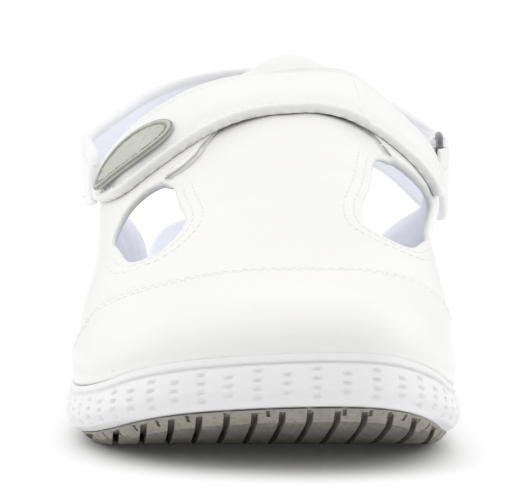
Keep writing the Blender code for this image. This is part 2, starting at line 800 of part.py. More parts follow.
# Heel strap: from the outer wing round the heel to the loop, folded back through it
heel_z = 0.620 * RIDGE_HEIGHT
WING_SPOTS = [(share, heel_z + dz) for share in (0.600, 0.615, 0.630) for dz in (0.001, 0.006, 0.011)]
wing_in = min(wing_x(share, z, -1) for share, z in WING_SPOTS)
outer_x = wing_in - GAP - 0.0013
end_low, end_top = loop_z - loop_high / 2 + GAP, loop_z + loop_high / 2 - GAP
wide_x, wide_y = 0.500 * BALL_WIDTH, 0.762 * LENGTH
neck_x, neck_y = loop_x + 0.35 * fold, loop_rear + 0.0105
HEEL_ROWS = (
    (outer_x, 0.600 * LENGTH, heel_z + 0.0010, heel_z + 0.0115, 0.0024),
    (outer_x - 0.0008, 0.634 * LENGTH, heel_z - 0.0005, heel_z + HEEL_STRAP_WIDTH - 0.0075, HEEL_STRAP),
    (-0.498 * BALL_WIDTH, 0.705 * LENGTH, heel_z - 0.0020, heel_z + HEEL_STRAP_WIDTH - 0.0055, HEEL_STRAP),
    (-0.466 * BALL_WIDTH, 0.780 * LENGTH, heel_z - 0.0018, heel_z + HEEL_STRAP_WIDTH - 0.0030, HEEL_STRAP),
    (-0.400 * BALL_WIDTH, 0.870 * LENGTH, heel_z + 0.0005, heel_z + HEEL_STRAP_WIDTH + 0.0005, HEEL_STRAP),
    (-0.268 * BALL_WIDTH, 0.955 * LENGTH, heel_z + 0.0060, heel_z + HEEL_STRAP_WIDTH + 0.0060, HEEL_STRAP),
    (-0.020 * BALL_WIDTH, 0.992 * LENGTH, heel_z + 0.0090, heel_z + HEEL_STRAP_WIDTH + 0.0090, HEEL_STRAP),
    (0.232 * BALL_WIDTH, 0.955 * LENGTH, heel_z + 0.0060, heel_z + HEEL_STRAP_WIDTH + 0.0060, HEEL_STRAP),
    (0.376 * BALL_WIDTH, 0.870 * LENGTH, heel_z + 0.0005, heel_z + HEEL_STRAP_WIDTH + 0.0005, HEEL_STRAP),
    (wide_x, wide_y, heel_z - 0.0060, heel_z + HEEL_STRAP_WIDTH - 0.0055, HEEL_STRAP),
    (neck_x, neck_y, end_low - 0.002, end_top + 0.001, 0.0020),
    (loop_x + fold, loop_rear, end_low, end_top, tab_thick),
    (loop_x + 0.707 * fold, loop_rear - 0.707 * fold, end_low, end_top, tab_thick),
    (loop_x, loop_rear - fold, end_low, end_top, tab_thick),
    (loop_x - 0.707 * fold, loop_rear - 0.707 * fold, end_low, end_top, tab_thick),
    (loop_x - fold, loop_rear, end_low, end_top, tab_thick),
    (neck_x - 0.0023, neck_y - 0.0025, end_low, end_top, tab_thick),
    (0.45 * wide_x + 0.55 * neck_x - 0.0028, 0.45 * wide_y + 0.55 * neck_y, end_low, end_top, tab_thick),
)
heel_strap = band("heel_strap", HEEL_ROWS, 5, padding)
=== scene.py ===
import math

import bmesh
import bpy
import numpy as np
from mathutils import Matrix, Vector
from mathutils.bvhtree import BVHTree
from mathutils.geometry import delaunay_2d_cdt
from mathutils.kdtree import KDTree


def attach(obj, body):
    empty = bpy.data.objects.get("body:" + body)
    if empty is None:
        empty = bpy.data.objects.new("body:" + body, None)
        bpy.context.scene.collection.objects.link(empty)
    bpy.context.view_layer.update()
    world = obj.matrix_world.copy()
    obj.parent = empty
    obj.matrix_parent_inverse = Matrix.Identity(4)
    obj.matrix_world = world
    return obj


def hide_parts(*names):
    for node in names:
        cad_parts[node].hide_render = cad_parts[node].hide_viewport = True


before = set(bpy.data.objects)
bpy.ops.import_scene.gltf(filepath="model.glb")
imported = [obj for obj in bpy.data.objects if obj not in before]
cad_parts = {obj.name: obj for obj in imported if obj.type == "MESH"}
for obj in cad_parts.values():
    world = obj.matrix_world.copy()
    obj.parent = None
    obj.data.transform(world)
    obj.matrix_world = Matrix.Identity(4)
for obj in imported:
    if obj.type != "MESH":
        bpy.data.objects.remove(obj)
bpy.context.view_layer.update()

# Sizes shared with the plain model, in metres. The toe points to -Y.
LENGTH = 0.263
BALL_WIDTH = 0.0995
TOE_SPRING = 0.0137
BALL_RIM = 0.0145
OUTSOLE = 0.0031
GROOVE_DEPTH = 0.0017
GROOVE_WIDTH = 0.0016
GROOVE_PITCH = 0.0066
RIM_WALL = 0.0030
CUP_DEPTH = 0.0055
FOOTBED = 0.0045
WALL = 0.0020
RIDGE_HEIGHT = 0.0825
TONGUE_RISE = 0.0044
STRAP = 0.0028
STRAP_WIDTH = 0.1217 * LENGTH
HEEL_STRAP = 0.0030
HEEL_STRAP_WIDTH = 0.0215
BADGE = 0.0012
LOOP_WIRE = 0.0020
GAP = 0.0003
SEAT = 0.0005

# Points round the sole's wall, how close the points of a measured line lie, and the least length
AROUND = 1200
FINE_GAP = 0.0004
TINY = 1e-12


class Table:
    """Rows of sizes along the shoe, read on a smooth curve through them."""

    def __init__(self, columns, rows, flat=False):
        self.names = columns.split()
        self.rows = np.array(rows, float)
        self.x = self.rows[:, 0]
        self.flat = flat
        self.slopes = [self.slope(self.rows[:, k]) for k in range(len(self.names))]

    def slope(self, y):
        h = np.diff(self.x)
        d = np.diff(y) / h
        n = len(y)
        if self.flat:
            m = np.zeros(n)
            for k in range(1, n - 1):
                if d[k - 1] * d[k] > 0:
                    a = 2 * h[k] + h[k - 1]
                    b = h[k] + 2 * h[k - 1]
                    m[k] = (a + b) / (a / d[k - 1] + b / d[k])
            m[0], m[-1] = d[0], d[-1]
            return m
        grid = np.zeros((n, n))
        right = np.zeros(n)
        grid[0, :2], right[0] = (2, 1), 3 * d[0]
        grid[-1, -2:], right[-1] = (1, 2), 3 * d[-1]
        for k in range(1, n - 1):
            grid[k, k - 1 : k + 2] = h[k], 2 * (h[k - 1] + h[k]), h[k - 1]
            right[k] = 3 * (h[k] * d[k - 1] + h[k - 1] * d[k])
        return np.linalg.solve(grid, right)

    def read(self, name, at):
        column = self.names.index(name)
        y = self.rows[:, column]
        m = self.slopes[column]
        at = np.clip(at, self.x[0], self.x[-1])
        k = np.clip(np.searchsorted(self.x, at, side="right") - 1, 0, len(y) - 2)
        h = self.x[k + 1] - self.x[k]
        s = (at - self.x[k]) / h
        near = (1 + 2 * s) * (1 - s) ** 2 * y[k] + s * (1 - s) ** 2 * h * m[k]
        far = s * s * (3 - 2 * s) * y[k + 1] + s * s * (s - 1) * h * m[k + 1]
        return near + far


def turn(share):
    """A share of the length as the turns that share_of reads back."""
    return np.arccos(1 - 2 * np.asarray(share, float)) / math.pi


def share_of(turns):
    return (1 - np.cos(math.pi * np.asarray(turns))) / 2


def step(x, start, end):
    """0 before start, 1 after end, smooth between."""
    s = np.clip((x - start) / (end - start), 0, 1)
    return s * s * (3 - 2 * s)


def dip(x, middle, width):
    """1 in the middle, less at both sides."""
    return np.exp(-(((x - middle) / width) ** 2))


def unit(rows):
    """The same directions, one unit long."""
    return rows / np.maximum(np.linalg.norm(rows, axis=-1, keepdims=True), TINY)


def run_along(points):
    """How far along a line each of its points lies."""
    return np.concatenate([[0], np.cumsum(np.linalg.norm(np.diff(points, axis=0), axis=1))])


OUTLINE = (
    (0, 0.165, 0.165), (0.03, -0.185, 0.36), (0.114, -0.408, 0.462), (0.228, -0.5, 0.488),
    (0.304, -0.511, 0.478), (0.38, -0.503, 0.456), (0.475, -0.473, 0.422), (0.57, -0.436, 0.387),
    (0.665, -0.401, 0.357), (0.76, -0.373, 0.336), (0.855, -0.35, 0.316), (0.935, -0.292, 0.258),
    (0.985, -0.165, 0.13), (1, -0.018, -0.018),
)


def closed_outline():
    rows = [(-turn(share), outer) for share, outer, inner in OUTLINE[::-1]]
    rows += [(turn(share), inner) for share, outer, inner in OUTLINE[1:]]
    before = [(t - 2, x) for t, x in rows[-4:-1]]
    after = [(t + 2, x) for t, x in rows[1:4]]
    return Table("turn edge", before + rows + after)


EDGE = closed_outline()
SOLE = Table(
    "along lift rim bed",
    (
        (0, 1, 2.05, 0), (0.03, 0.82, 1.86, 0), (0.076, 0.54, 1.57, 0), (0.12, 0.31, 1.3, 0),
        (0.171, 0.125, 1.12, 0), (0.228, 0.015, 1.015, 0), (0.266, 0, 1, 0), (0.456, 0, 1.15, 0),
        (0.57, 0.24, 1.45, 0), (0.665, 0.13, 1.74, 0), (0.703, 0, 1.83, 0.05), (0.855, 0, 2.08, 0.75),
        (0.951, 0, 2.17, 1), (1, 0.2, 2.2, 1),
    ),
    flat=True,
)
RIDGE = Table(
    "along across height",
    (
        (0.095, 0.15, 0.525), (0.14, 0.135, 0.54), (0.19, 0.12, 0.562), (0.247, 0.105, 0.628),
        (0.304, 0.095, 0.72), (0.361, 0.085, 0.822), (0.437, 0.075, 0.94), (0.498, 0.068, 1),
        (0.559, 0.063, 1.036), (0.62, 0.058, 1.06), (0.8, 0.05, 1.1),
    ),
)
SECTION = Table(
    "along outer inner swell_out swell_in lean low_swell",
    (
        (0, 2.9, 2.9, 0, 0, 1.4, 0.0004),
        (0.12, 2.8, 3, 0.0006, 0.001, 1.4, 0.0012),
        (0.228, 2.4, 2.8, 0.0018, 0.0026, 1.4, 0.0022),
        (0.304, 2.15, 2.5, 0.003, 0.0036, 1.4, 0.0024),
        (0.38, 2.05, 2.3, 0.0032, 0.0052, 1.4, 0.0022),
        (0.456, 2.5, 2.6, 0.0032, 0.007, 1.35, 0.0014),
        (0.532, 3.4, 3.6, 0.0046, 0.0105, 1.15, 0.0006),
        (0.608, 4, 4.2, 0.007, 0.0128, 0.95, 0),
        (0.76, 4, 4.2, 0.0072, 0.0125, 0.85, 0),
    ),
)


def outline(q, inset):
    """Plan points of the sole's outline drawn in by an inset; q runs -1 to 1 round the shoe."""
    q = np.asarray(q, float)

    def plan(q):
        wrapped = (q + 1) % 2 - 1
        x = BALL_WIDTH * EDGE.read("edge", wrapped)
        return np.stack([x, LENGTH * share_of(q)], -1)

    along = unit(plan(q + 1e-3) - plan(q - 1e-3))
    inward = np.stack([-along[..., 1], along[..., 0]], -1)
    return plan(q) + inward * np.asarray(inset)[..., None]


def floor_line(y):
    return TOE_SPRING * SOLE.read("lift", y / LENGTH)


def rim_line(y):
    return BALL_RIM * SOLE.read("rim", y / LENGTH)


# The tongue's hump: where it starts along the shoe, and how wide it is
TONGUE_START = (0.545, 0.600)
TONGUE_WIDTH = 0.15 * BALL_WIDTH
# The upper swells above its foot, and a little more low down
FOOT_SHARE = 0.35
LOW_START = 0.085
PATTERN_STRETCH = 1.5


def ridge_of(along):
    """Where the ridge lies: its share of the length and its plan points."""
    share = np.hypot(RIDGE.x[0], along)
    return share, np.stack([BALL_WIDTH * RIDGE.read("across", share), LENGTH * share], -1)


def upper_point(turns, r):
    """A point of the upper's outer face: turns along, r from -1 outer edge to 1 inner edge."""
    turns = np.asarray(turns, float)
    side = np.where(turns < 0, -np.sign(r), np.sign(r))
    side = np.where(side == 0, 1.0, side)
    turns = np.abs(turns)
    edge = outline(turns * side, np.full(turns.shape, RIM_WALL + GAP + 0.0001))
    along = share_of(turns)
    ridge_along, ridge = ridge_of(along)
    bottom = rim_line(edge[..., 1]) - CUP_DEPTH + 0.001
    top = RIDGE_HEIGHT * RIDGE.read("height", ridge_along)
    full = np.where(side < 0, SECTION.read("outer", along), SECTION.read("inner", along))
    swell = np.where(side < 0, SECTION.read("swell_out", along), SECTION.read("swell_in", along))
    angle = (1 - np.abs(r)) * math.pi / 2
    cosine, sine = np.maximum(np.cos(angle), 0), np.maximum(np.sin(angle), 0)
    radius = (cosine**full + sine**full) ** (-1 / full)
    out, up = cosine * radius, sine * radius
    span = edge - ridge
    height = bottom + (top - bottom) * up
    free = bottom + CUP_DEPTH
    above = np.clip((height - free) / (top - free), 0, 1)
    foot = np.clip(above / FOOT_SHARE, 0, 1) ** 2
    bulge = swell * foot * np.sin(math.pi * above ** SECTION.read("lean", along)) ** 2
    over = np.clip((above - LOW_START) / (1 - LOW_START), 0, 1)
    low = SECTION.read("low_swell", along) * np.where(side < 0, 1.0, 0.6)
    bulge = bulge + low * np.sin(math.pi * over**0.45) ** 2
    plan = ridge + span * out[..., None] + unit(span) * bulge[..., None]
    tongue = TONGUE_RISE * step(plan[..., 1] / LENGTH, *TONGUE_START)
    height = height + tongue * dip(plan[..., 0], ridge[..., 0], TONGUE_WIDTH)
    return np.concatenate([plan, height[..., None]], -1)


def plan_of(turns, r):
    """A flat pattern of the upper, in which its triangles are laid out."""
    side = np.where(np.asarray(r) < 0, -1.0, 1.0)
    edge = outline(np.abs(turns) * side, np.full(np.shape(turns), RIM_WALL))
    ridge = ridge_of(share_of(turns))[1]
    return ridge + (edge - ridge) * PATTERN_STRETCH * np.abs(np.asarray(r))[..., None]


def inside(points, loop):
    found = np.zeros(len(points), int)
    x, y = points[:, 0], points[:, 1]
    for a, b in zip(loop, np.roll(loop, -1, 0)):
        if a[1] == b[1]:
            continue
        spans = (a[1] > y) != (b[1] > y)
        found += spans & (x < a[0] + (y - a[1]) * (b[0] - a[0]) / (b[1] - a[1]))
    return found % 2 == 1


def within(points, loops):
    """Which points lie inside the first loop and outside the others."""
    good = inside(points, loops[0])
    for hole in loops[1:]:
        good &= ~inside(points, hole)
    return good


def rounded(corners, steps):
    """A closed (turns, r) line, smooth through corners given as (share, r)."""
    rows = np.array(corners, float)
    n = len(rows)
    wrapped = np.concatenate([rows[-3:], rows, rows[:3]])
    made = Table("place share r", np.column_stack([np.arange(-3, n + 3, dtype=float), wrapped]))
    at = np.linspace(0, n, steps, endpoint=False)
    return np.column_stack([turn(made.read("share", at)), made.read("r", at)])


def even(points, gap, closed=False):
    """Points of a line set out again at an even spacing."""
    points = np.asarray(points, float)
    if closed:
        points = np.concatenate([points, points[:1]])
    run = run_along(points)
    count = max(int(round(run[-1] / gap)), 2)
    at = np.linspace(0, run[-1], count + 1)
    if closed:
        at = at[:-1]
    return np.stack([np.interp(at, run, points[:, k]) for k in range(points.shape[1])], -1)


def even_on_face(line, gap, closed=True):
    """A (turns, r) line set out again so that its points are evenly spaced on the face."""
    if closed:
        line = np.concatenate([line, line[:1]])
    run = run_along(upper_point(line[:, 0], line[:, 1]))
    at = np.linspace(0, run[-1], max(int(round(run[-1] / gap)), 8) + 1)[:-1]
    return np.stack([np.interp(at, run, line[:, k]) for k in (0, 1)], -1)


def face_line(places, closed=False):
    """A (turns, r) line as close points on the upper's face."""
    return even(upper_point(places[:, 0], places[:, 1]), FINE_GAP, closed)


def nearest(points, line):
    """Distance from each point to a line of close points."""
    tree = KDTree(len(line))
    for k, p in enumerate(line):
        tree.insert(Vector((*p, 0.0)[:3]), k)
    tree.balance()
    return np.array([tree.find(Vector((*p, 0.0)[:3]))[2] for p in points])


def make(name, points, faces, materials, groups=None, sharp=50):
    """A closed smooth piece in the row's frame. groups gives each face's material."""
    points = np.array(points, float)
    points[:, 1] -= LENGTH / 2
    mesh = bpy.data.meshes.new(name)
    mesh.from_pydata(points.tolist(), [], [tuple(f) for f in faces])
    for material in materials:
        mesh.materials.append(material)
    if groups is not None:
        mesh.polygons.foreach_set("material_index", np.array(groups, np.int32))
    shape = bmesh.new()
    shape.from_mesh(mesh)
    bmesh.ops.remove_doubles(shape, verts=shape.verts, dist=1e-7)
    bmesh.ops.recalc_face_normals(shape, faces=shape.faces)
    if shape.calc_volume(signed=True) < 0:
        bmesh.ops.reverse_faces(shape, faces=shape.faces)
    shape.to_mesh(mesh)
    shape.free()
    mesh.shade_smooth()
    mesh.set_sharp_from_angle(angle=math.radians(sharp))
    piece = bpy.data.objects.new(name, mesh)
    bpy.context.scene.collection.objects.link(piece)
    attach(piece, "root")
    return piece


def tube_faces(rings, sides, closed=False, base=0):
    """Faces that join rings of points in order, with a face on each end unless closed."""
    faces = []
    if not closed:
        last = base + (rings - 1) * sides
        faces = [list(range(base, base + sides)), list(range(last + sides - 1, last - 1, -1))]
    for k in range(rings if closed else rings - 1):
        low, high = base + k * sides, base + (k + 1) % rings * sides
        for i in range(sides):
            j = (i + 1) % sides
            faces.append([low + i, low + j, high + j, high + i])
    return faces


# Materials


class Value:
    """A number, vector or colour inside a material, which can be written in sums."""

    def __init__(self, tree, socket):
        self.tree = tree
        self.socket = socket

    def join(self, kind, other, swap=False, clamp=False):
        node = self.tree.nodes.new("ShaderNodeMath")
        node.operation = kind
        node.use_clamp = clamp
        sides = (other, self) if swap else (self, other)
        for socket, side in zip(node.inputs, sides):
            if isinstance(side, Value):
                self.tree.links.new(side.socket, socket)
            elif side is not None:
                socket.default_value = side
        return Value(self.tree, node.outputs[0])

    def clamped(self):
        return self.join("ADD", 0.0, clamp=True)

    def wave(self):
        return self.join("SINE", None)


for sign, kind in (("add", "ADD"), ("sub", "SUBTRACT"), ("mul", "MULTIPLY")):
    setattr(Value, f"__{sign}__", lambda self, other, kind=kind: self.join(kind, other))
    setattr(Value, f"__r{sign}__", lambda self, other, kind=kind: self.join(kind, other, swap=True))


class Look:
    """A Principled material that is written as sums of textures."""

    def __init__(self, name, color, roughness, **settings):
        self.material = bpy.data.materials.new(name)
        self.material.use_nodes = True
        self.tree = self.material.node_tree
        self.shader = self.tree.nodes["Principled BSDF"]
        self.shader.inputs["Base Color"].default_value = (*color, 1)
        self.shader.inputs["Roughness"].default_value = roughness
        for key, value in settings.items():
            self.shader.inputs[key.replace("_", " ").title()].default_value = value
        self.place = self.add("ShaderNodeTexCoord", outlet="Object")

    def add(self, kind, outlet=0, settings=None, **sockets):
        """Any other node: its settings first, then its sockets. n6 is the socket numbered 6."""
        node = self.tree.nodes.new(kind)
        for key, value in (settings or {}).items():
            setattr(node, key, value)
        for key, value in sockets.items():
            numbered = key[0] == "n" and key[1:].isdigit()
            socket = node.inputs[int(key[1:]) if numbered else key]
            if isinstance(value, Value):
                self.tree.links.new(value.socket, socket)
            else:
                socket.default_value = value
        return Value(self.tree, node.outputs[outlet])

    def noise(self, scale, detail=3.0, roughness=0.5):
        sockets = {"Vector": self.place, "Scale": scale, "Detail": detail, "Roughness": roughness}
        return self.add("ShaderNodeTexNoise", "Fac", **sockets)

    def cells(self, scale, feature="F1"):
        settings = {"feature": feature}
        return self.add("ShaderNodeTexVoronoi", "Distance", settings, Vector=self.place, Scale=scale)

    def axis(self, name):
        return self.add("ShaderNodeSeparateXYZ", name, Vector=self.place)

    def blend(self, amount, one, other):
        colors = {"n0": amount, "n6": (*one, 1), "n7": (*other, 1)}
        return self.add("ShaderNodeMix", 2, {"data_type": "RGBA"}, **colors)

    def feed(self, name, value):
        self.tree.links.new(value.socket, self.shader.inputs[name])

    def bump(self, height, distance, strength=1.0):
        normal = self.add("ShaderNodeBump", "Normal", Height=height, Distance=distance, Strength=strength)
        self.feed("Normal", normal)


def leather(name, color, shade, roughness=0.40, grain=1.0, coat=0.15):
    """Smooth leather: fine pores, a soft waviness and a sheen that varies a little."""
    look = Look(name, color, roughness, coat_weight=coat, coat_roughness=0.35)
    pores = look.cells(1500.0)
    creases = look.cells(620.0, "DISTANCE_TO_EDGE")
    cloudy = look.noise(38.0, 4.0)
    fine = look.noise(900.0, 2.0)
    look.feed("Base Color", look.blend((cloudy * 1.8 - 0.5).clamped(), color, shade))
    look.feed("Roughness", roughness - 0.07 + cloudy * 0.10 + fine * 0.04)
    height = pores * 0.45 + (creases * 6.0).clamped() * 0.35 + fine * 0.3 + look.noise(120.0, 2.0) * 0.6
    look.bump(height, 0.00006 * grain, 0.7)
    return look.material


def foam(name, color, shade):
    """Moulded foam: a matt skin with a fine even grain."""
    look = Look(name, color, 0.58)
    fine = look.noise(1400.0, 2.0)
    cloudy = look.noise(30.0, 3.0)
    look.feed("Base Color", look.blend((cloudy * 1.6 - 0.4).clamped(), color, shade))
    look.feed("Roughness", 0.50 + fine * 0.14)
    look.bump(fine + look.noise(260.0) * 0.5, 0.00005, 0.6)
    return look.material


def rubber(name, color, shade, roughness=0.72, depth=0.0001):
    """Dense rubber with a dusty bloom and small specks."""
    look = Look(name, color, roughness)
    cloudy = look.noise(90.0, 5.0, 0.6)
    specks = (0.42 - look.cells(620.0)).clamped() * 3.0
    crumbs = look.noise(420.0, 4.0, 0.7) - 0.5
    amount = (cloudy * 1.5 - 0.3 - specks + crumbs * 1.4).clamped()
    look.feed("Base Color", look.blend(amount, shade, color))
    look.feed("Roughness", roughness - 0.08 + cloudy * 0.16)
    look.bump(look.noise(600.0, 3.0) + cloudy * 0.5, depth, 0.7)
    return look.material


def cloth(name, color, shade, thread=0.0009):
    """Lining cloth: a close weave with a soft nap."""
    look = Look(name, color, 0.92, sheen_weight=0.25, sheen_roughness=0.5)
    along = (look.axis("Y") * (2 * math.pi / thread)).wave()
    across = (look.axis("X") * (2 * math.pi / thread)).wave()
    up = (look.axis("Z") * (2 * math.pi / thread)).wave()
    weave = (along * across + up * 0.6) * 0.25 + 0.5
    cloudy = look.noise(45.0, 4.0)
    look.feed("Base Color", look.blend((cloudy * 1.6 - 0.35).clamped(), color, shade))
    look.feed("Roughness", 0.85 + cloudy * 0.12)
    look.bump(weave + look.noise(800.0) * 0.5, 0.00007, 0.5)
    return look.material


def metal(name, color, roughness):
    """Coated wire with slightly brighter patches painted on as glints of reflected light; its roughness
    varies with them.
    """
    look = Look(name, color, roughness, metallic=0.85, coat_weight=0.3, coat_roughness=0.2)
    glint_spots = look.noise(240.0, 5.0, 0.65)
    bright = tuple(min(c * 2.6, 1) for c in color)
    # Painted glints: the noise patches lighten the wire's colour
    look.feed("Base Color", look.blend((glint_spots * 3.0 - 1.4).clamped(), color, bright))
    look.feed("Roughness", roughness - 0.06 + glint_spots * 0.16)
    look.bump(look.noise(900.0), 0.00003, 0.5)
    return look.material


def thread(name, color, shade):
    """Sewing thread: fine twisted strands."""
    look = Look(name, color, 0.55, sheen_weight=0.3)
    twist = ((look.axis("X") + look.axis("Y") + look.axis("Z")) * 9000.0).wave() * 0.5 + 0.5
    look.feed("Base Color", look.blend(twist, color, shade))
    look.bump(twist, 0.00005, 0.6)
    return look.material


# The two colours are those between which a material varies
white_leather = leather("upper_leather", (0.795, 0.79, 0.78), (0.77, 0.765, 0.752))
strap_leather = leather("strap_leather", (0.80, 0.797, 0.79), (0.77, 0.767, 0.758), 0.42)
# Dark leather for the painted shadow lines under the wings' edges
edge_shadow_leather = leather("painted_edge_shadow", (0.42, 0.42, 0.40), (0.52, 0.52, 0.50), 0.7, coat=0.0)
tab_leather = leather("tab_leather", (0.78, 0.78, 0.775), (0.75, 0.75, 0.745), 0.46)
heel_leather = leather("heel_leather", (0.81, 0.81, 0.815), (0.78, 0.78, 0.79), 0.48)
lining = cloth("lining_cloth", (0.86, 0.87, 0.93), (0.83, 0.84, 0.91))
footbed_cloth = cloth("footbed_cloth", (0.80, 0.815, 0.89), (0.75, 0.765, 0.85), 0.0011)
white_foam = foam("midsole_foam", (0.79, 0.79, 0.795), (0.765, 0.765, 0.77))
grey_rubber = rubber("outsole_rubber", (0.36, 0.345, 0.30), (0.25, 0.24, 0.205))
# A darker copy of the outsole rubber: painted shade for its downward faces
shaded_tread_rubber = rubber("shaded_tread_rubber", (0.25, 0.24, 0.208), (0.145, 0.138, 0.118), 0.8)
# Near-black rubber painted into the grooves and notches as their shade; the cut faces keep it from the
# tools
groove_shade_rubber = rubber("groove_shade_rubber", (0.10, 0.095, 0.085), (0.06, 0.057, 0.05))
badge_rubber = rubber("badge_rubber", (0.52, 0.53, 0.47), (0.45, 0.46, 0.41), 0.6, 0.00005)
badge_rim = rubber("badge_edge", (0.30, 0.31, 0.27), (0.25, 0.26, 0.23), 0.6, 0.00005)
dark_metal = metal("loop_metal", (0.16, 0.16, 0.17), 0.32)
white_thread = thread("white_thread", (0.85, 0.85, 0.79), (0.79, 0.79, 0.72))


def piping(name, rows, radius, material, count=16, gap=0.0009, fade=None):
    """A round edge along a path, with soft ends; fade is how far the last end thins out."""
    rows = np.array(rows, float)
    run = run_along(rows)
    path = Table("run x y z", np.column_stack([run, rows]))
    middle = np.linspace(radius, run[-1] - radius, max(int(run[-1] / gap), 3))[1:-1]
    at = np.concatenate([np.linspace(0, radius, 7), middle, run[-1] - np.linspace(radius, 0, 7)])
    spots = np.stack([path.read(axis, at) for axis in "xyz"], -1)
    along = unit(np.gradient(spots, axis=0))
    ends = np.clip(np.minimum(at / radius, (run[-1] - at) / (fade or radius)), 0, 1)
    reach = radius * np.sqrt(np.maximum(1 - (1 - ends) ** 2, 0.002))
    side = unit(np.cross(along, (0.3, 0.2, 1.0)))
    up = np.cross(side, along)
    turned = 2 * math.pi * np.arange(count) / count
    ring = side[:, None] * np.cos(turned)[:, None] + up[:, None] * np.sin(turned)[:, None]
    points = spots[:, None] + reach[:, None, None] * ring
    return make(name, points.reshape(-1, 3), tube_faces(len(at), count), [material], sharp=80)


# How far in from a rolled edge the net gets rings of points
ROLL_RINGS = (0.00025, 0.0006, 0.0011, 0.0018)


class Skin:
    """Triangles between loops of (turns, r) on the upper's face, fine enough to shape.

    marks are lines of (turns, r), each with the reaches beside it at which the net gets more points.
    """

    def __init__(self, border, holes, fine, rim=ROLL_RINGS, gap=0.0011, marks=()):
        loops = [even_on_face(np.array(loop, float), gap) for loop in [border, *holes]]
        plans = [plan_of(loop[:, 0], loop[:, 1]) for loop in loops]
        dense = np.concatenate([even(p, FINE_GAP, True) for p in plans])
        grid = self.grid(loops[0], fine)
        plan = plan_of(grid[:, 0], grid[:, 1])
        keep = within(plan, plans) & (nearest(plan, dense) > rim[-1] + 0.0004)
        mark_places, mark_plans = [np.empty((0, 2))], [np.empty((0, 2))]
        for line, reaches in marks:
            line = even_on_face(np.array(line, float), 0.0009, False)
            line_plan = plan_of(line[:, 0], line[:, 1])
            for reach in reaches:
                beside = self.ring(line, line_plan, reach) if reach else (line, line_plan)
                mark_places.append(beside[0])
                mark_plans.append(beside[1])
        mark_places, mark_plans = np.concatenate(mark_places), np.concatenate(mark_plans)
        if len(mark_plans):
            good = (nearest(mark_plans, dense) > rim[-1] + 0.0003) & within(mark_plans, plans)
            mark_places, mark_plans = mark_places[good], mark_plans[good]
            keep &= nearest(plan, mark_plans) > 0.0006
        ring_places, ring_plans = [], []
        for loop, loop_plan in zip(loops, plans):
            for reach in rim:
                places, flat = self.ring(loop, loop_plan, reach)
                good = (nearest(flat, dense) > reach * 0.93) & within(flat, plans)
                ring_places.append(places[good])
                ring_plans.append(flat[good])
        places = np.concatenate([*loops, *ring_places, mark_places, grid[keep]])
        flat = np.concatenate([*plans, *ring_plans, mark_plans, plan[keep]])
        edges = []
        start = 0
        for loop in loops:
            n = len(loop)
            edges += [(start + i, start + (i + 1) % n) for i in range(n)]
            start += n
        found = delaunay_2d_cdt([Vector(p) for p in flat], edges, [], 0, 1e-8)
        source = np.array([group[0] for group in found[3]])
        corners = np.array([tuple(p) for p in found[0]])
        faces = np.array(found[2])
        faces = source[faces[within(corners[faces].mean(1), plans)]]
        used, faces = np.unique(faces, return_inverse=True)
        self.faces = faces.reshape(-1, 3)
        places = places[used]
        self.share, self.r = share_of(places[:, 0]), places[:, 1]
        self.base = upper_point(places[:, 0], places[:, 1])
        self.normal = self.normals(self.base)
        self.rim = [upper_point(loop[:, 0], loop[:, 1]) for loop in loops]
        self.tree = BVHTree.FromPolygons(self.base.tolist(), self.faces.tolist())

    def grid(self, border, fine):
        """Even places inside the border's reach, fewer where they would crowd at the toe."""
        low, high = border.min(0), border.max(0)
        turns = np.arange(low[0], high[0] + fine[0], fine[0])
        turns = turns[turns >= 0]
        r = np.arange(math.floor(low[1] / fine[1]), math.ceil(high[1] / fine[1]) + 1) * fine[1]
        r = r[np.abs(r) <= 1]
        grid = []
        for i, t in enumerate(turns):
            for a in r:
                near = abs(a) * (t + 0.05)
                every = 8 if near < 0.012 else 4 if near < 0.03 else 2 if near < 0.06 else 1
                if i % every == 0 and (t > 0 or a >= 0):
                    grid.append((t, a))
        return np.array(grid)

    def ring(self, loop, flat, reach):
        """The places and plan points beside a loop, at a reach on both of its sides."""
        along = unit(np.roll(flat, -1, 0) - np.roll(flat, 1, 0))
        side = np.stack([-along[:, 1], along[:, 0]], -1)
        found = []
        for sign in (1, -1):
            aim = flat + side * reach * sign
            places = loop.copy()
            for _ in range(6):
                here = plan_of(places[:, 0], places[:, 1])
                miss = aim - here
                nudge = np.where(places[:, 1] < 0, -1e-5, 1e-5)
                dt = (plan_of(places[:, 0] + 1e-5, places[:, 1]) - here) / 1e-5
                dr = (plan_of(places[:, 0], places[:, 1] + nudge) - here) / nudge[:, None]
                det = dt[:, 0] * dr[:, 1] - dt[:, 1] * dr[:, 0]
                det = np.where(np.abs(det) < TINY, TINY, det)
                move_t = (miss[:, 0] * dr[:, 1] - miss[:, 1] * dr[:, 0]) / det
                move_r = (dt[:, 0] * miss[:, 1] - dt[:, 1] * miss[:, 0]) / det
                places = places + np.clip(np.stack([move_t, move_r], -1), -0.01, 0.01)
                places[:, 0] = np.abs(places[:, 0])
                places[:, 1] = np.clip(places[:, 1], -1, 1)
            here = plan_of(places[:, 0], places[:, 1])
            ok = np.linalg.norm(here - aim, axis=1) < 2e-5
            found.append((places[ok], here[ok]))
        return [np.concatenate(both) for both in zip(*found)]

    def normals(self, points):
        corners = points[self.faces]
        area = np.cross(corners[:, 1] - corners[:, 0], corners[:, 2] - corners[:, 0])
        normal = np.zeros_like(points)
        for k in range(3):
            np.add.at(normal, self.faces[:, k], area)
        return unit(-normal if normal[:, 2].sum() < 0 else normal)

    def edge_distance(self):
        return nearest(self.base, np.concatenate([even(loop, 0.0003, True) for loop in self.rim]))

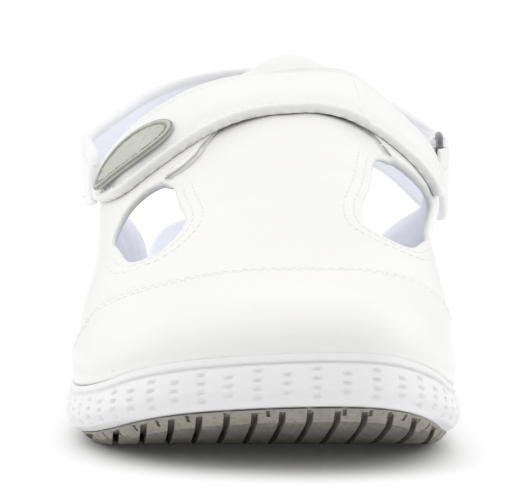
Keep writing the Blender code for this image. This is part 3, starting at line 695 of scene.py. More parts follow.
    def beside(self, line, reach):
        """A line on the face that runs beside another, reach metres to its left."""
        line = np.asarray(line, float)
        along = unit(np.gradient(line, axis=0))
        normal = np.array([tuple(self.tree.find_nearest(Vector(p))[1]) for p in line])
        normal *= np.where(normal[:, 2:] < -0.2, -1, 1)
        moved = line + unit(np.cross(normal, along)) * reach
        return np.array([tuple(self.tree.find_nearest(Vector(p))[0]) for p in moved])

    def row(self, line, reach, axis):
        """The line beside another on the side of the toe (axis 1) or of the outer edge (axis 0)."""
        found = self.beside(line, reach)
        if found[len(found) // 2][axis] > line[len(line) // 2][axis]:
            found = self.beside(line, -reach)
        return found

    def build(self, name, low, high, materials, inner_group=0, groups=None):
        """Two faces at the heights low and high above the base, closed round every loop."""
        count = len(self.base)
        outer = self.base + self.normal * high[:, None]
        points = np.concatenate([outer, self.base + self.normal * low[:, None]])
        faces = self.faces.tolist()
        sides = {(a, b) for face in faces for a, b in zip(face, face[1:] + face[:1])}
        walls = [(b, a, a + count, b + count) for a, b in sorted(sides) if (b, a) not in sides]
        below = [[v + count for v in reversed(face)] for face in faces]
        top = [0] * len(faces) if groups is None else list(groups)
        marks = top + [inner_group] * len(below) + [0] * len(walls)
        piece = make(name, points, faces + below + walls, materials, marks, sharp=75)
        return piece, BVHTree.FromPolygons(outer.tolist(), faces)


def rolled(distance, radius):
    """How far an edge of this radius has dropped at a distance from its rim."""
    d = np.clip(distance / radius, 0, 1)
    return radius * (1 - np.sqrt(np.maximum(1 - (1 - d) ** 2, 0.0)))


# A place inside the shoe, from which outward is told
SHOE_MIDDLE = np.array([0.004, 0.13, 0.02])


def sew(name, line, tree, pitch, long, thick, material, sink, closed=False):
    """A row of separate stitches along a line, each lying on the face of tree."""
    line = even(line, pitch, closed)
    spots, ups = [], []
    for p in line:
        place, normal, _, _ = tree.find_nearest(Vector(p))
        spots.append(tuple(place))
        ups.append(tuple(normal))
    spots, ups = np.array(spots), np.array(ups)
    around, along = 6, 4
    points, faces = [], []
    count = len(spots)
    for k in range(count if closed else count - 1):
        a, b = spots[k], spots[(k + 1) % count]
        size = np.linalg.norm(b - a)
        if size < 0.3 * pitch or size > 2.0 * pitch:
            continue
        run = (b - a) / size
        up = ups[k] + ups[(k + 1) % count]
        if np.dot(up, a - SHOE_MIDDLE) < 0:
            up = -up
        up = unit(up - run * np.dot(up, run))
        side = np.cross(run, up)
        middle = (a + b) / 2 + up * thick * (0.5 - sink)
        base = len(points)
        points.append(middle - run * long / 2)
        for i in range(1, along):
            reach = -math.cos(math.pi * i / along) * long / 2
            wide = math.sin(math.pi * i / along) ** 0.6 * thick / 2
            for j in range(around):
                turned = 2 * math.pi * j / around
                off = side * math.cos(turned) + up * math.sin(turned)
                points.append(middle + run * reach + off * wide)
        points.append(middle + run * long / 2)
        last = len(points) - 1
        for j in range(around):
            n = (j + 1) % around
            faces.append((base, base + 1 + n, base + 1 + j))
            for i in range(along - 2):
                s = base + 1 + i * around
                faces.append((s + j, s + n, s + around + n, s + around + j))
            s = base + 1 + (along - 2) * around
            faces.append((last, s + j, s + n))
    piece = make(name, points, faces, [material], sharp=80)


COLLAR = Table(
    "r along",
    (
        (-1, 0.742), (-0.9, 0.73), (-0.82, 0.706), (-0.74, 0.68), (-0.66, 0.656), (-0.58, 0.624),
        (-0.5, 0.58), (-0.41, 0.558), (-0.3, 0.554), (-0.16, 0.574), (0, 0.6), (0.16, 0.594),
        (0.3, 0.592), (0.41, 0.608), (0.5, 0.624), (0.58, 0.636), (0.66, 0.648), (0.74, 0.664),
        (0.82, 0.694), (0.9, 0.726), (1, 0.742),
    ),
)
# The upper's border: its outer edge from the toe, the collar, and its inner edge back to the toe
collar_r = np.linspace(-1, 1, 201)
collar = np.column_stack([turn(COLLAR.read("along", collar_r)), collar_r])
feather_end = turn(COLLAR.read("along", 1.0))
feather = np.linspace(0, feather_end, 150)
border = [(t, -1.0) for t in feather[1:-1]]
border += [tuple(row) for row in collar]
border += [(t, 1.0) for t in feather[::-1][1:]]


OUTER_WINDOW = (
    (0.379, -0.38), (0.336, -0.355), (0.294, -0.337), (0.264, -0.385), (0.256, -0.43), (0.266, -0.485),
    (0.3, -0.522), (0.34, -0.555), (0.374, -0.583), (0.396, -0.552), (0.402, -0.505), (0.398, -0.44),
)
INNER_WINDOW = (
    (0.4, 0.362), (0.35, 0.33), (0.305, 0.28), (0.272, 0.272), (0.258, 0.335), (0.26, 0.41),
    (0.28, 0.475), (0.325, 0.535), (0.385, 0.61), (0.452, 0.652), (0.484, 0.628), (0.466, 0.545),
    (0.446, 0.45), (0.43, 0.4),
)
CAP_SEAM = Table(
    "r along",
    (
        (-1, 0.262), (-0.8, 0.248), (-0.59, 0.221), (-0.455, 0.184), (-0.32, 0.162), (-0.16, 0.153),
        (0.07, 0.148), (0.39, 0.177), (0.535, 0.203), (0.76, 0.24), (1, 0.262),
    ),
)
outer_window = rounded(OUTER_WINDOW, 240)
inner_window = rounded(INNER_WINDOW, 260)
cap_r = np.linspace(-0.97, 0.97, 240)
cap_places = np.column_stack([turn(CAP_SEAM.read("along", cap_r)), cap_r])
# Where each wing's front edge lies on the vamp
OUTER_FLAP = Table(
    "share r",
    ((0.396, -0.4), (0.399, -0.345), (0.42, -0.28), (0.449, -0.215), (0.47, -0.17)),
    flat=True,
)
INNER_FLAP = Table(
    "r share",
    ((0.25, 0.474), (0.305, 0.469), (0.37, 0.464), (0.425, 0.453), (0.46, 0.445)),
    flat=True,
)
outer_shares = np.linspace(0.396, 0.470, 60)
inner_rs = np.linspace(0.250, 0.450, 60)
outer_flap = np.column_stack([turn(outer_shares), OUTER_FLAP.read("r", outer_shares)])
inner_flap = np.column_stack([turn(INNER_FLAP.read("share", inner_rs)), inner_rs])


def level_line(lift):
    """Places of the upper's face at a height above the midsole's rim, from end to end round the toe."""
    turns = np.linspace(0, feather_end * 0.995, 150)
    rows = np.linspace(0.55, 1, 120)
    places = []
    for side in (-1, 1):
        for t in turns[::-1] if side < 0 else turns[1:]:
            points = upper_point(np.full(rows.shape, t), rows * side)
            above = points[:, 2] - rim_line(points[:, 1])
            places.append((t, side * np.interp(-lift, -above, rows)))
    return np.array(places)


# The net is finer beside the seams and where the upper meets the rim
FINE = (0.0, 0.0003, 0.0007, 0.0012)
REST_LEVELS = (-0.0002, 0.0001, 0.0004, 0.0008, 0.0014, 0.0024)
skin = Skin(
    border,
    [outer_window, inner_window],
    (0.0042, 0.0165),
    marks=[
        *[(level_line(lift), (0.0,)) for lift in REST_LEVELS],
        (cap_places, (*FINE, 0.0019, 0.0029, 0.0038, 0.0048)),
        (outer_flap, FINE),
        (inner_flap, FINE),
    ],
)
cap_line = face_line(cap_places)
flap_line = face_line(outer_flap)
inner_flap_line = face_line(inner_flap)
collar_line = face_line(collar[8:-8])
window_lines = [face_line(window, True) for window in (outer_window, inner_window)]

# Distances to the seams and edges; the cap's is below 0 behind its seam
d_cap = nearest(skin.base, cap_line)
d_cap = np.where(skin.share < CAP_SEAM.read("along", skin.r), d_cap, -d_cap)
d_collar = nearest(skin.base, even(upper_point(collar[:, 0], collar[:, 1]), 0.0003))
d_window = np.minimum(*[nearest(skin.base, line) for line in window_lines])
d_open = np.minimum(d_collar, d_window)
d_flap = np.minimum(nearest(skin.base, flap_line), nearest(skin.base, inner_flap_line))
on_wing = (skin.r < OUTER_FLAP.read("r", skin.share)) & (skin.r < 0)
on_wing |= (skin.share > INNER_FLAP.read("share", skin.r)) & (skin.r > 0.2)

# Instep strap: where its edges run
strap_half = STRAP_WIDTH / LENGTH / 2
STRAP_OUTER_END = -0.640
STRAP_INNER_END = 0.632
STRAP_ROWS = Table(
    "r middle half",
    (
        (-0.64, 0.497, 0.74), (-0.54, 0.48, 0.86), (-0.44, 0.471, 0.86), (-0.3, 0.475, 0.84),
        (-0.15, 0.488, 0.91), (0, 0.497, 0.98), (0.2, 0.506, 0.97), (0.36, 0.518, 0.96),
        (0.5, 0.53, 0.96), (0.64, 0.544, 0.96),
    ),
)


def strap_edge(r, side):
    outer = np.clip((STRAP_OUTER_END + 0.15 - r) / 0.15, 0, 1)
    inner = np.clip((r - STRAP_INNER_END + 0.03) / 0.03, 0, 1)
    ends = np.sqrt(np.maximum(1 - outer**2.4, 0)) * (1 - 0.35 * inner**3)
    half = strap_half * STRAP_ROWS.read("half", r) * np.maximum(ends, 0.04)
    return turn(STRAP_ROWS.read("middle", r) + 0.012 * outer**2 + side * half)


# Soft creases across the vamp, at the wings and low at the sides: share, r, length, width, depth, lean
CREASES = (
    (0.3, 0.05, 0.03, 0.0032, -0.00022, 0.1),
    (0.345, -0.05, 0.028, 0.004, -0.0002, -0.15),
    (0.395, 0.08, 0.03, 0.0042, -0.00016, 0.05),
    (0.23, -0.7, 0.012, 0.003, -0.00025, 0.9),
    (0.262, -0.66, 0.011, 0.003, 0.00022, 0.9),
    (0.3, 0.76, 0.012, 0.0032, -0.00025, -0.9),
    (0.34, 0.74, 0.011, 0.003, -0.00022, -0.8),
    (0.44, -0.72, 0.016, 0.004, -0.0003, 1.2),
    (0.5, -0.78, 0.015, 0.004, -0.00026, 1.2),
    (0.47, 0.78, 0.016, 0.004, -0.00028, -1.2),
    (0.56, 0.8, 0.014, 0.004, -0.00024, -1.2),
)


def creased(points):
    """Height of the soft creases at points of the upper."""
    height = np.zeros(len(points))
    for share, a, long, wide, depth, lean in CREASES:
        places = turn(np.array([share, share, share + 0.01]))
        middle, ahead, back = upper_point(places, np.array([a, a + 0.01, a]))
        across = unit(ahead - middle)
        along = back - middle
        along = unit(along - across * np.dot(along, across))
        run = across * math.cos(lean) + along * math.sin(lean)
        off = -across * math.sin(lean) + along * math.cos(lean)
        u, v = (points - middle) @ run, (points - middle) @ off
        v = v + 0.12 * u * u / long
        height += depth * dip(u, 0, long) * (1 - 0.5 * (v / wide) ** 2) * dip(v, 0, wide)
    return height


# How far from its seam or edge each row of stitches runs
CAP_ROWS = (0.0018, 0.0038)
WINDOW_ROWS = (0.0024, 0.0050)
COLLAR_ROW = 0.0036
TONGUE_ROW = 0.0066
FLAP_ROW = 0.0018
# The outer face: creases, the toe cap, the seams' grooves, the wings, the ledge on the rim, the tongue
high = creased(skin.base)
high += 0.00055 * step(d_cap, -0.0003, 0.0006) * (1 - 0.4 * step(d_cap, 0.006, 0.03))
high += -0.00030 * dip(d_cap, -0.0004, 0.0005)
high += -0.00022 * sum(dip(d_cap, row, 0.0006) for row in CAP_ROWS)
high += 0.00045 * np.where(on_wing, step(d_flap, 0.0, 0.0004), 0) * (1 - step(d_flap, 0.006, 0.018))
sunk = -0.00080 * step(d_flap, -0.0002, 0.0003) * (1 - step(d_flap, 0.002, 0.014)) * ~on_wing
high += sunk - 0.00060 * dip(d_flap, 0.0003, 0.00045) * step(d_window, 0.0015, 0.004) * ~on_wing
rest_height = skin.base[:, 2] - rim_line(skin.base[:, 1])
high += 0.0016 * step(rest_height, -0.0003, 0.0007) * (1 - step(rest_height, 0.003, 0.015))
hump = step(skin.share, 0.555, 0.59) * dip(skin.r, 0.02, 0.22)
high += hump * (0.0009 - 0.0004 * dip(d_collar, TONGUE_ROW, 0.0008))
high += -0.00018 * sum(dip(d_window, row, 0.0006) for row in WINDOW_ROWS)
high += 0.00018 * step(d_window, 0.0008, 0.002) * (1 - step(d_window, 0.0050, 0.008))
high += -0.00022 * dip(d_collar, COLLAR_ROW, 0.0007)
high += 0.00025 * step(d_collar, 0.0008, 0.002) * (1 - step(d_collar, 0.0028, 0.007))
# The inner face: a padded collar and a soft waviness
pad = step(d_collar, 0.0018, 0.006) * (1 - step(d_collar, 0.012, 0.02)) * step(skin.r**2, 0.0, 0.04)
low = np.full(len(high), -WALL) - 0.0010 * pad * step(1 - np.abs(skin.r), 0.06, 0.2) + 0.6 * sunk
wave = np.sin(skin.base[:, 1] * 820) * np.sin(skin.base[:, 2] * 260 + 1.0)
low = low - 0.00025 * (0.5 + 0.5 * wave) * step(d_open, 0.003, 0.01)
# Under the instep strap the leather rises to it at the front, and nothing stands through it
front_r = np.linspace(STRAP_OUTER_END + 0.02, STRAP_INNER_END, 260)
front_turns = [float(strap_edge(r, -1)) for r in front_r]
d_front = nearest(skin.base, face_line(np.column_stack([front_turns, front_r])))
rise = 0.00036 + 0.00006 * step(np.abs(skin.r + 0.02), 0.26, 0.34)
high += rise * (1 - step(d_front, 0.0012, 0.005))
under_strap = np.abs(skin.share - STRAP_ROWS.read("middle", skin.r)) < strap_half + 0.006
under_strap &= (skin.r > STRAP_OUTER_END) & (skin.r < STRAP_INNER_END)
high = np.where(under_strap, np.minimum(high, 0.00042), high)
edge_drop = rolled(d_open, 0.00098)
high = high - edge_drop
low = low + edge_drop * 0.98
upper, upper_top = skin.build("upper_shell", low, high, [white_leather, lining], inner_group=1)
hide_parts("upper")

# Thin dark tubes along the two wings' front edges, where they lie on the vamp: a painted shadow line
# under each overlapping edge
SHADOW_LINE_RADIUS = 0.00020
for name, line in (("outer_wing_shadow_line", flap_line), ("inner_wing_shadow_line", inner_flap_line)):
    shown_part = line[nearest(line, np.concatenate(window_lines)) > 0.0012]
    spots = [upper_top.find_nearest(Vector(p))[:2] for p in shown_part[::6]]
    path = [tuple(place + normal * 0.00005) for place, normal in spots]
    shadow_line_piece = piping(name, path, SHADOW_LINE_RADIUS, edge_shadow_leather, count=8, gap=0.0006)

stitch = dict(pitch=0.0024, long=0.0019, thick=0.00046, material=white_thread, sink=0.55)
for k, reach in enumerate(CAP_ROWS):
    sew(f"cap_stitches_{k}", skin.row(cap_line, reach, 1)[20:-20], upper_top, **stitch)
# Two rows beside each window along the vamp and below, and none on the wing
STITCHED_PARTS = (
    (outer_window, lambda share, r: (share < 0.374) & (r > -0.53)),
    (inner_window, lambda share, r: ((share < 0.40) & (r < 0.56)) | (r < 0.37)),
)
for k, (window, keeps) in enumerate(STITCHED_PARTS):
    kept = keeps(share_of(window[:, 0]), window[:, 1])
    start = int(np.argmax(kept & ~np.roll(kept, 1)))
    part = face_line(np.roll(window, -start, 0)[: int(kept.sum())])
    for row, reach in enumerate(WINDOW_ROWS):
        side = skin.beside(part, reach)
        if nearest(side[len(side) // 2 :][:1], window_lines[k])[0] < 0.7 * reach:
            side = skin.beside(part, -reach)
        sew(f"window_stitches_{k}_{row}", side, upper_top, **stitch)
sew("collar_stitches", skin.row(collar_line, COLLAR_ROW, 1)[12:-12], upper_top, **stitch)
tongue_line = face_line(collar[np.abs(collar[:, 1] - 0.02) < 0.24])
sew("tongue_stitches", skin.row(tongue_line, TONGUE_ROW, 1), upper_top, **stitch)
sew("flap_stitches", skin.row(flap_line, FLAP_ROW, 0), upper_top, **stitch)

# Instep strap
sweep = np.sin(np.linspace(-math.pi / 2, math.pi / 2, 240))
strap_r = STRAP_OUTER_END + (STRAP_INNER_END - STRAP_OUTER_END) * (sweep + 1) / 2
strap_border = [(strap_edge(r, -1), r) for r in strap_r]
strap_border += [(strap_edge(r, 1), r) for r in strap_r[::-1]]
strap = Skin(strap_border, [], (0.0038, 0.0125), rim=(0.00025, 0.0006, 0.0011, 0.0017, 0.0026))
d_strap = strap.edge_distance()
SEAM_R = 0.345
STRAP_ROW = 0.0027
SEAM_ROW = 0.0022
seam_turns = np.linspace(strap_edge(SEAM_R, -1), strap_edge(SEAM_R, 1), 60)
seam_line = face_line(np.column_stack([seam_turns, np.full(60, SEAM_R)]))
d_seam = nearest(strap.base, seam_line)
inner_side = strap.r > SEAM_R
high = np.full(len(strap.base), SEAT + STRAP)
high += 0.00055 * step(d_strap, 0.0030, 0.008) - 0.00030 * dip(d_strap, STRAP_ROW, 0.0008)
high += -0.0004 * step(d_strap, 0.0006, 0.0026) * (1 - step(d_strap, 0.003, 0.006))
high += np.where(inner_side, -0.00050, 0.0) * step(d_seam, 0.0, 0.0009) * (1 - step(d_seam, 0.010, 0.025))
high += -0.00025 * dip(d_seam, SEAM_ROW, 0.0006) * ~inner_side
rim_drop = rolled(d_strap, 0.00135)
high = high - rim_drop
low = np.full(len(strap.base), SEAT) + rim_drop * 0.16
strap_piece, strap_top = strap.build("strap_over_instep", low, high, [strap_leather])
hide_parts("instep_strap")
strap_rim = even(strap.rim[0], FINE_GAP, True)
beside_rim = [strap.beside(strap_rim, reach) for reach in (STRAP_ROW, -STRAP_ROW)]
line = max(beside_rim, key=lambda row: nearest(row, strap_rim).mean())
line = line[nearest(line, strap_rim) > 0.0024]
sew("strap_stitches", line, strap_top, closed=True, **stitch)
sew("strap_seam_stitches", strap.row(seam_line[10:-10], SEAM_ROW, 0), strap_top, **stitch)

# Badge: a plain oval patch with a rim and straight ribs
BADGE_MIDDLE = (0.462, -0.476)
BADGE_LONG = (0.014, -0.122)
BADGE_WIDE = (0.0255, 0.006)
around = np.linspace(0, 2 * math.pi, 120, endpoint=False)
badge_share = BADGE_MIDDLE[0] + BADGE_LONG[0] * np.cos(around) + BADGE_WIDE[0] * np.sin(around)
badge_r = BADGE_MIDDLE[1] + BADGE_LONG[1] * np.cos(around) + BADGE_WIDE[1] * np.sin(around)
badge_border = np.column_stack([turn(badge_share), badge_r])
patch = Skin(badge_border, [], (0.0011, 0.0036), rim=(0.00015, 0.0004, 0.0008, 0.0012), gap=0.0006)
d_patch = patch.edge_distance()
badge_low = 2 * SEAT + STRAP
high = np.full(len(patch.base), badge_low + BADGE)
high += 0.0002 - 0.00075 * dip(d_patch, 0.0019, 0.00035)
ends = patch.base[[np.argmax(patch.base[:, 2]), np.argmin(patch.base[:, 2])]]
RIB_PITCH = 0.0026
ribs = np.cos((patch.base - ends[1]) @ unit(ends[0] - ends[1]) * 2 * math.pi / RIB_PITCH)
high += step(d_patch, 0.0022, 0.0030) * (-0.00030 + 0.00016 * ribs)
drop = rolled(d_patch, 0.00055)
high = high - drop
low = np.full(len(patch.base), badge_low) + drop * 0.9
corners = d_patch[patch.faces].mean(1)
marks = [1 if 0.00135 < d < 0.0023 or d < 0.00045 else 0 for d in corners]
badge_piece, _ = patch.build("oval_patch", low, high, [badge_rubber, badge_rim], groups=marks)
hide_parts("badge")


# Sole


def stacked(name, loops, materials, sharp=50):
    """A body from closed loops of points, bottom first, closed by strips across both ends."""
    count = len(loops[0])
    faces = tube_faces(len(loops), count)[2:]
    for start in (0, (len(loops) - 1) * count):
        for a in range(count // 2):
            face = [start + b % count for b in (a, a + 1, count - a - 1, count - a)]
            face = list(dict.fromkeys(face))
            if len(face) > 2:
                faces.append(face)
    return make(name, np.concatenate(loops), faces, materials, sharp=sharp)


MIDSOLE_SIDE = Table(
    "share inset",
    (
        (0, 0.0017), (0.03, 0.0014), (0.12, 0.0012), (0.16, 0.001), (0.38, 0), (0.6, 0.0003),
        (0.8, 0.0011), (0.84, 0.0015), (0.88, 0.0011), (1, 0.0016),
    ),
    flat=True,
)


def side_tuck(q):
    """How much further in the sole's lower edge lies at the sides than at the toe."""
    return 0.0018 * step(share_of(q), 0.03, 0.13)


# Columns of dimples in the midsole's wall, by turns of four and of three
COLUMN_PITCH = 0.0072
ROW_PITCH = 0.0021
EVEN_TOP = 0.0039
ODD_TOP = 0.00495
DIMPLE_WIDE = 0.0014
DIMPLE_HIGH = 0.00062
DIMPLE_DEEP = 0.00085
around = np.linspace(-1, 1, AROUND, endpoint=False)
rim_plan = outline(around, np.zeros(AROUND))
arc = run_along(rim_plan)
total = arc[-1] + np.linalg.norm(rim_plan[0] - rim_plan[-1])
column_gap = total / (int(round(total / COLUMN_PITCH / 2)) * 2)
column = np.round(arc / column_gap)
off_column = np.abs(arc - column * column_gap)
odd = column.astype(int) % 2 == 1
wall_top = rim_line(rim_plan[:, 1])
wall_high = wall_top - (floor_line(rim_plan[:, 1]) + OUTSOLE + 0.00002)
least = wall_high.min()
loops = []
for w in np.linspace(0, 1, 58):
    below = (1 - w) * least + (wall_high - least) * step(np.full(AROUND, 1 - w), 0.78, 1.0)
    share = 1 - below / wall_high
    inset = MIDSOLE_SIDE.read("inset", share) + 0.9 * side_tuck(around) * (1 - step(share, 0.0, 0.12))
    bead = 0.0004 * dip(below, 0.0022, 0.00035)
    row = (below - np.where(odd, ODD_TOP, EVEN_TOP)) / ROW_PITCH
    off_row = np.abs(row - np.clip(np.round(row), 0, np.where(odd, 2, 3))) * ROW_PITCH
    wide = np.clip(1 - (off_column / DIMPLE_WIDE) ** 2, 0, 1)
    tall = np.clip(1 - (off_row / DIMPLE_HIGH) ** 2, 0, 1)
    dimple = DIMPLE_DEEP * wide * tall * step(share, 0.10, 0.16)
    loops.append(np.column_stack([outline(around, inset + bead + dimple), wall_top - below]))
# The ledge on the rim, and the cup inside it
RIM_STEPS = (
    (0.0021, -0.00012), (0.0026, -0.0001), (0.0029, 0.00005), (RIM_WALL, 0.0006), (RIM_WALL, CUP_DEPTH),
)
for inset, drop in RIM_STEPS:
    plan = outline(around, np.full(AROUND, inset))
    loops.append(np.column_stack([plan, rim_line(plan[:, 1]) - drop]))
midsole = stacked("foam_midsole", loops, [white_foam], sharp=60)
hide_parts("midsole")


def level(count, inset, more, height):
    """A closed loop, drawn in from the outline by inset(q) + more, at height(y)."""
    q = np.linspace(-1, 1, count, endpoint=False)
    plan = outline(q, inset(q) + more)
    return np.column_stack([plan, height(plan[:, 1])])


# Outsole with its grooves and edge notches
OUTSOLE_SIDE = (
    (0.0056, 0), (0.0044, 0.0004), (0.0032, 0.0011), (0.0023, 0.002), (0.0017, 0.0027),
    (0.0015, OUTSOLE),
)
outsole = stacked(
    "rubber_outsole",
    [level(360, side_tuck, inset, lambda y: floor_line(y) + up) for inset, up in OUTSOLE_SIDE],
    [grey_rubber],
    sharp=35,
)


def groove(k, slant, start, end, width, depth):
    """Rings of a long block that follows the floor line, for the groove numbered k across the sole."""
    rings = []
    for y in np.linspace(start, end, 14):
        middle = GROOVE_PITCH * (k - 0.3) + slant * (y - start)
        low, high = floor_line(y) - 0.004, floor_line(y) + depth
        for dx, z in ((-1, low), (1, low), (0.82, high), (-0.82, high)):
            rings.append((middle + dx * width / 2, y, z))
    return rings


def notch(q, width):
    """Rings of a small block across the sole's edge."""
    tuck = float(side_tuck(np.array(q)))
    here, deep = outline(np.array([q, q]), np.array([0.0008, 0.0034]) + tuck)
    inward = unit(deep - here)
    side = np.array([-inward[1], inward[0]]) * width / 2
    z = floor_line(np.clip(here[1], 0, LENGTH))
    corners = (here - side, here + side, deep + side, deep - side)
    return [(*p, height) for height in (z + 0.0010, z + 0.0026) for p in corners]


def cutter(name, blocks):
    """One tool from many blocks, each given as rings of four points."""
    points, faces = [], []
    for block in blocks:
        first, last, *sides = tube_faces(len(block) // 4, 4, base=len(points))
        faces += [first[::-1], last[::-1], *sides]
        points += block
    # The tools carry the near-black rubber, so the faces they cut get painted shade
    return make(name, points, faces, [groove_shade_rubber], sharp=30)


# The forefoot's grooves lean more the further in they lie
OVERRUN = 0.004
FRONT_GROOVES = (-OVERRUN, 0.235 * LENGTH, GROOVE_WIDTH + 0.0003, GROOVE_DEPTH + 0.0008)
REAR_GROOVES = (0.80 * LENGTH, LENGTH + OVERRUN, GROOVE_WIDTH, GROOVE_DEPTH)
NOTCH_WIDTH = 0.0010
NOTCH_TURNS = (*np.linspace(-0.40, 0.42, 27), *np.linspace(0.80, 1.20, 14))
grooves = [groove(k, -0.045 - 0.006 * (k + 6), *FRONT_GROOVES) for k in range(-6, 8)]
grooves += [groove(k, 0.0, *REAR_GROOVES) for k in range(-4, 5)]
tools = (
    cutter("groove_cutter", grooves),
    cutter("notch_cutter", [notch(q, NOTCH_WIDTH) for q in NOTCH_TURNS]),
)
for tool in tools:
    cut = outsole.modifiers.new("cut", "BOOLEAN")
    cut.operation = "DIFFERENCE"
    cut.solver = "EXACT"
    cut.object = tool
bpy.context.view_layer.update()
shown = outsole.evaluated_get(bpy.context.evaluated_depsgraph_get())
carved = bpy.data.meshes.new_from_object(shown)
# Faces that look down get a darker copy of the rubber: painted shade on the tread, which the floor
# shadows
DOWNWARD = -0.80
tread = len(carved.materials)
carved.materials.append(shaded_tread_rubber)
for face in carved.polygons:
    if face.normal.z < DOWNWARD and face.material_index == 0:
        face.material_index = tread
outsole.modifiers.clear()
outsole.data = carved
carved.shade_smooth()
carved.set_sharp_from_angle(angle=math.radians(35))
for tool in tools:
    bpy.data.objects.remove(tool)
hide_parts("outsole")


# Footbed
HEEL_CUP = 0.0092
BED_TURNS = 300


def bed_inset(q):
    wide = step(share_of(q), 0.745, 0.795)
    inner = RIM_WALL + 2 * GAP + WALL + 0.0015
    return inner + (RIM_WALL + GAP - inner) * wide


def bed_low(y):
    return rim_line(y) - CUP_DEPTH + GAP


def bed_top(y, rise):
    return bed_low(y) + FOOTBED + HEEL_CUP * SOLE.read("bed", y / LENGTH) ** 0.5 * rise


# From the footbed's edge inward: how far in, and the share of the cup's height that is left
BED = Table(
    "place more rise",
    (
        (0, 0.0004, 0.97), (0.35, 0.001, 1), (1, 0.003, 0.8), (2, 0.008, 0.25), (3, 0.013, 0),
        (4, 0.02, 0),
    ),
    flat=True,
)
bed_loops = [
    level(BED_TURNS, bed_inset, 0.0, bed_low),
    level(BED_TURNS, bed_inset, 0.0, lambda y: bed_top(y, 1.0) - 0.0012),
]
for place in np.linspace(0, 3.6, 22):
    more, rise = float(BED.read("more", place)), float(BED.read("rise", place))
    bed_loops.append(level(BED_TURNS, bed_inset, more, lambda y: bed_top(y, rise) - 0.0002))
footbed = stacked("footbed", bed_loops, [footbed_cloth], sharp=60)
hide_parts("insole")


# Loop holder, wire loop and heel strap


def wing_x(share, z, side):
    """How far out the upper's face lies at a height."""
    r = np.linspace(0.3, 0.95, 131) * side
    points = upper_point(np.full(r.shape, turn(share)), r)
    return points[np.argmin(np.abs(points[:, 2] - z)), 0]


# A strap's section: how square its corners are, how its ends round off, how much of it is lined
SQUARE = 0.55
END_ROUND = 0.0009
LINED_SHARE = 0.82


def band(name, rows, gap, materials):
    """A strap swept along plan rows of (x, y, lower edge, upper edge, thickness)."""
    run = np.array(rows, float)
    chord = run_along(run[:, :2])
    path = Table("run x y low high thick", np.column_stack([chord, run]))
    at = np.linspace(0, chord[-1], int(chord[-1] / gap))
    x, y = path.read("x", at), path.read("y", at)
    dx, dy = np.gradient(x, at), np.gradient(y, at)
    length = np.hypot(dx, dy)
    nx, ny = -dy / length, dx / length
    low, high, half = path.read("low", at), path.read("high", at), path.read("thick", at) / 2
    ends = np.minimum(at, chord[-1] - at)
    close = np.sqrt(np.clip(1 - (1 - np.clip(ends / END_ROUND, 0, 1)) ** 2, 0.06, 1))
    half = half * close
    tall = (high - low) / 2
    section = []
    points = []
    for turned in np.linspace(0, 2 * math.pi, 48, endpoint=False):
        side, up = [math.copysign(abs(v) ** SQUARE, v) for v in (math.cos(turned), math.sin(turned))]
        section.append(side)
        z = (high + low) / 2 + up * (tall - (1 - close) * np.minimum(half * 2, tall) * 0.6)
        points.append(np.stack([x + nx * half * side, y + ny * half * side, z], -1))
    points = np.stack(points, 1)
    n, m = len(at), len(section)
    inner = [section[i] < -0.8 and section[(i + 1) % m] < -0.8 for i in range(m)]
    lined = LINED_SHARE * n if len(materials) > 1 else 0
    marks = [0, 0] + [int(inner[i] and k < lined) for k in range(n - 1) for i in range(m)]
    piece = make(name, points.reshape(-1, 3), tube_faces(n, m), materials, marks, sharp=60)
    return piece, at, x, y, nx, ny, low, high, half


loop_z = 0.774 * RIDGE_HEIGHT
loop_high = 0.0091
loop_long = 0.0085
tab_thick = 0.0013
fold = LOOP_WIRE / 2 + GAP + tab_thick / 2 + 0.0002
loop_front = 0.634 * LENGTH
loop_rear = loop_front + loop_long
wing_spots = [(share, loop_z + dz) for share in (0.600, 0.612, 0.624) for dz in (-0.0025, 0.0, 0.0025)]
wing_out = max(wing_x(share, z, 1) for share, z in wing_spots)
loop_x = wing_out + GAP + tab_thick / 2 + fold
# How leather bends round the wire: shares of the fold across and along
ROUND_WIRE = ((1, 0), (0.707, 0.707), (0, 1), (-0.707, 0.707), (-1, 0))
tab_front = loop_front - 0.0092
tab_plan = [
    (loop_x - fold, tab_front),
    (loop_x - fold, loop_front - 0.0030),
    *[(loop_x - across * fold, loop_front + along * fold) for across, along in ROUND_WIRE],
    (loop_x + 0.6 * fold, loop_front - 0.0034),
    (loop_x - fold + tab_thick + GAP, tab_front + 0.0012),
]
tab_half = 0.30 * loop_high
tab_rows = [(x, y, loop_z - tab_half, loop_z + tab_half, tab_thick) for x, y in tab_plan]
tab = band("loop_holder", tab_rows, 0.0004, [tab_leather])[0]
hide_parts("loop_tab")

middle_y = (loop_front + loop_rear) / 2
bend = 0.0022
wire = LOOP_WIRE / 2
ring_points = []
steps, sides = 10, 20
for k, (sy, sz) in enumerate(((1, 1), (-1, 1), (-1, -1), (1, -1))):
    for s in range(steps + 1):
        turned = math.pi / 2 * (k + s / steps)
        cy = middle_y + sy * (loop_long / 2 - bend) + bend * math.cos(turned)
        cz = loop_z + sz * (loop_high / 2 + wire - bend) + bend * math.sin(turned)
        for i in range(sides):
            a = 2 * math.pi * i / sides
            x, reach = loop_x + wire * math.sin(a), wire * math.cos(a)
            ring_points.append((x, cy + math.cos(turned) * reach, cz + math.sin(turned) * reach))
ring_faces = tube_faces(4 * (steps + 1), sides, closed=True)
ring = make("wire_loop", ring_points, ring_faces, [dark_metal], sharp=60)
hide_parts("strap_loop")

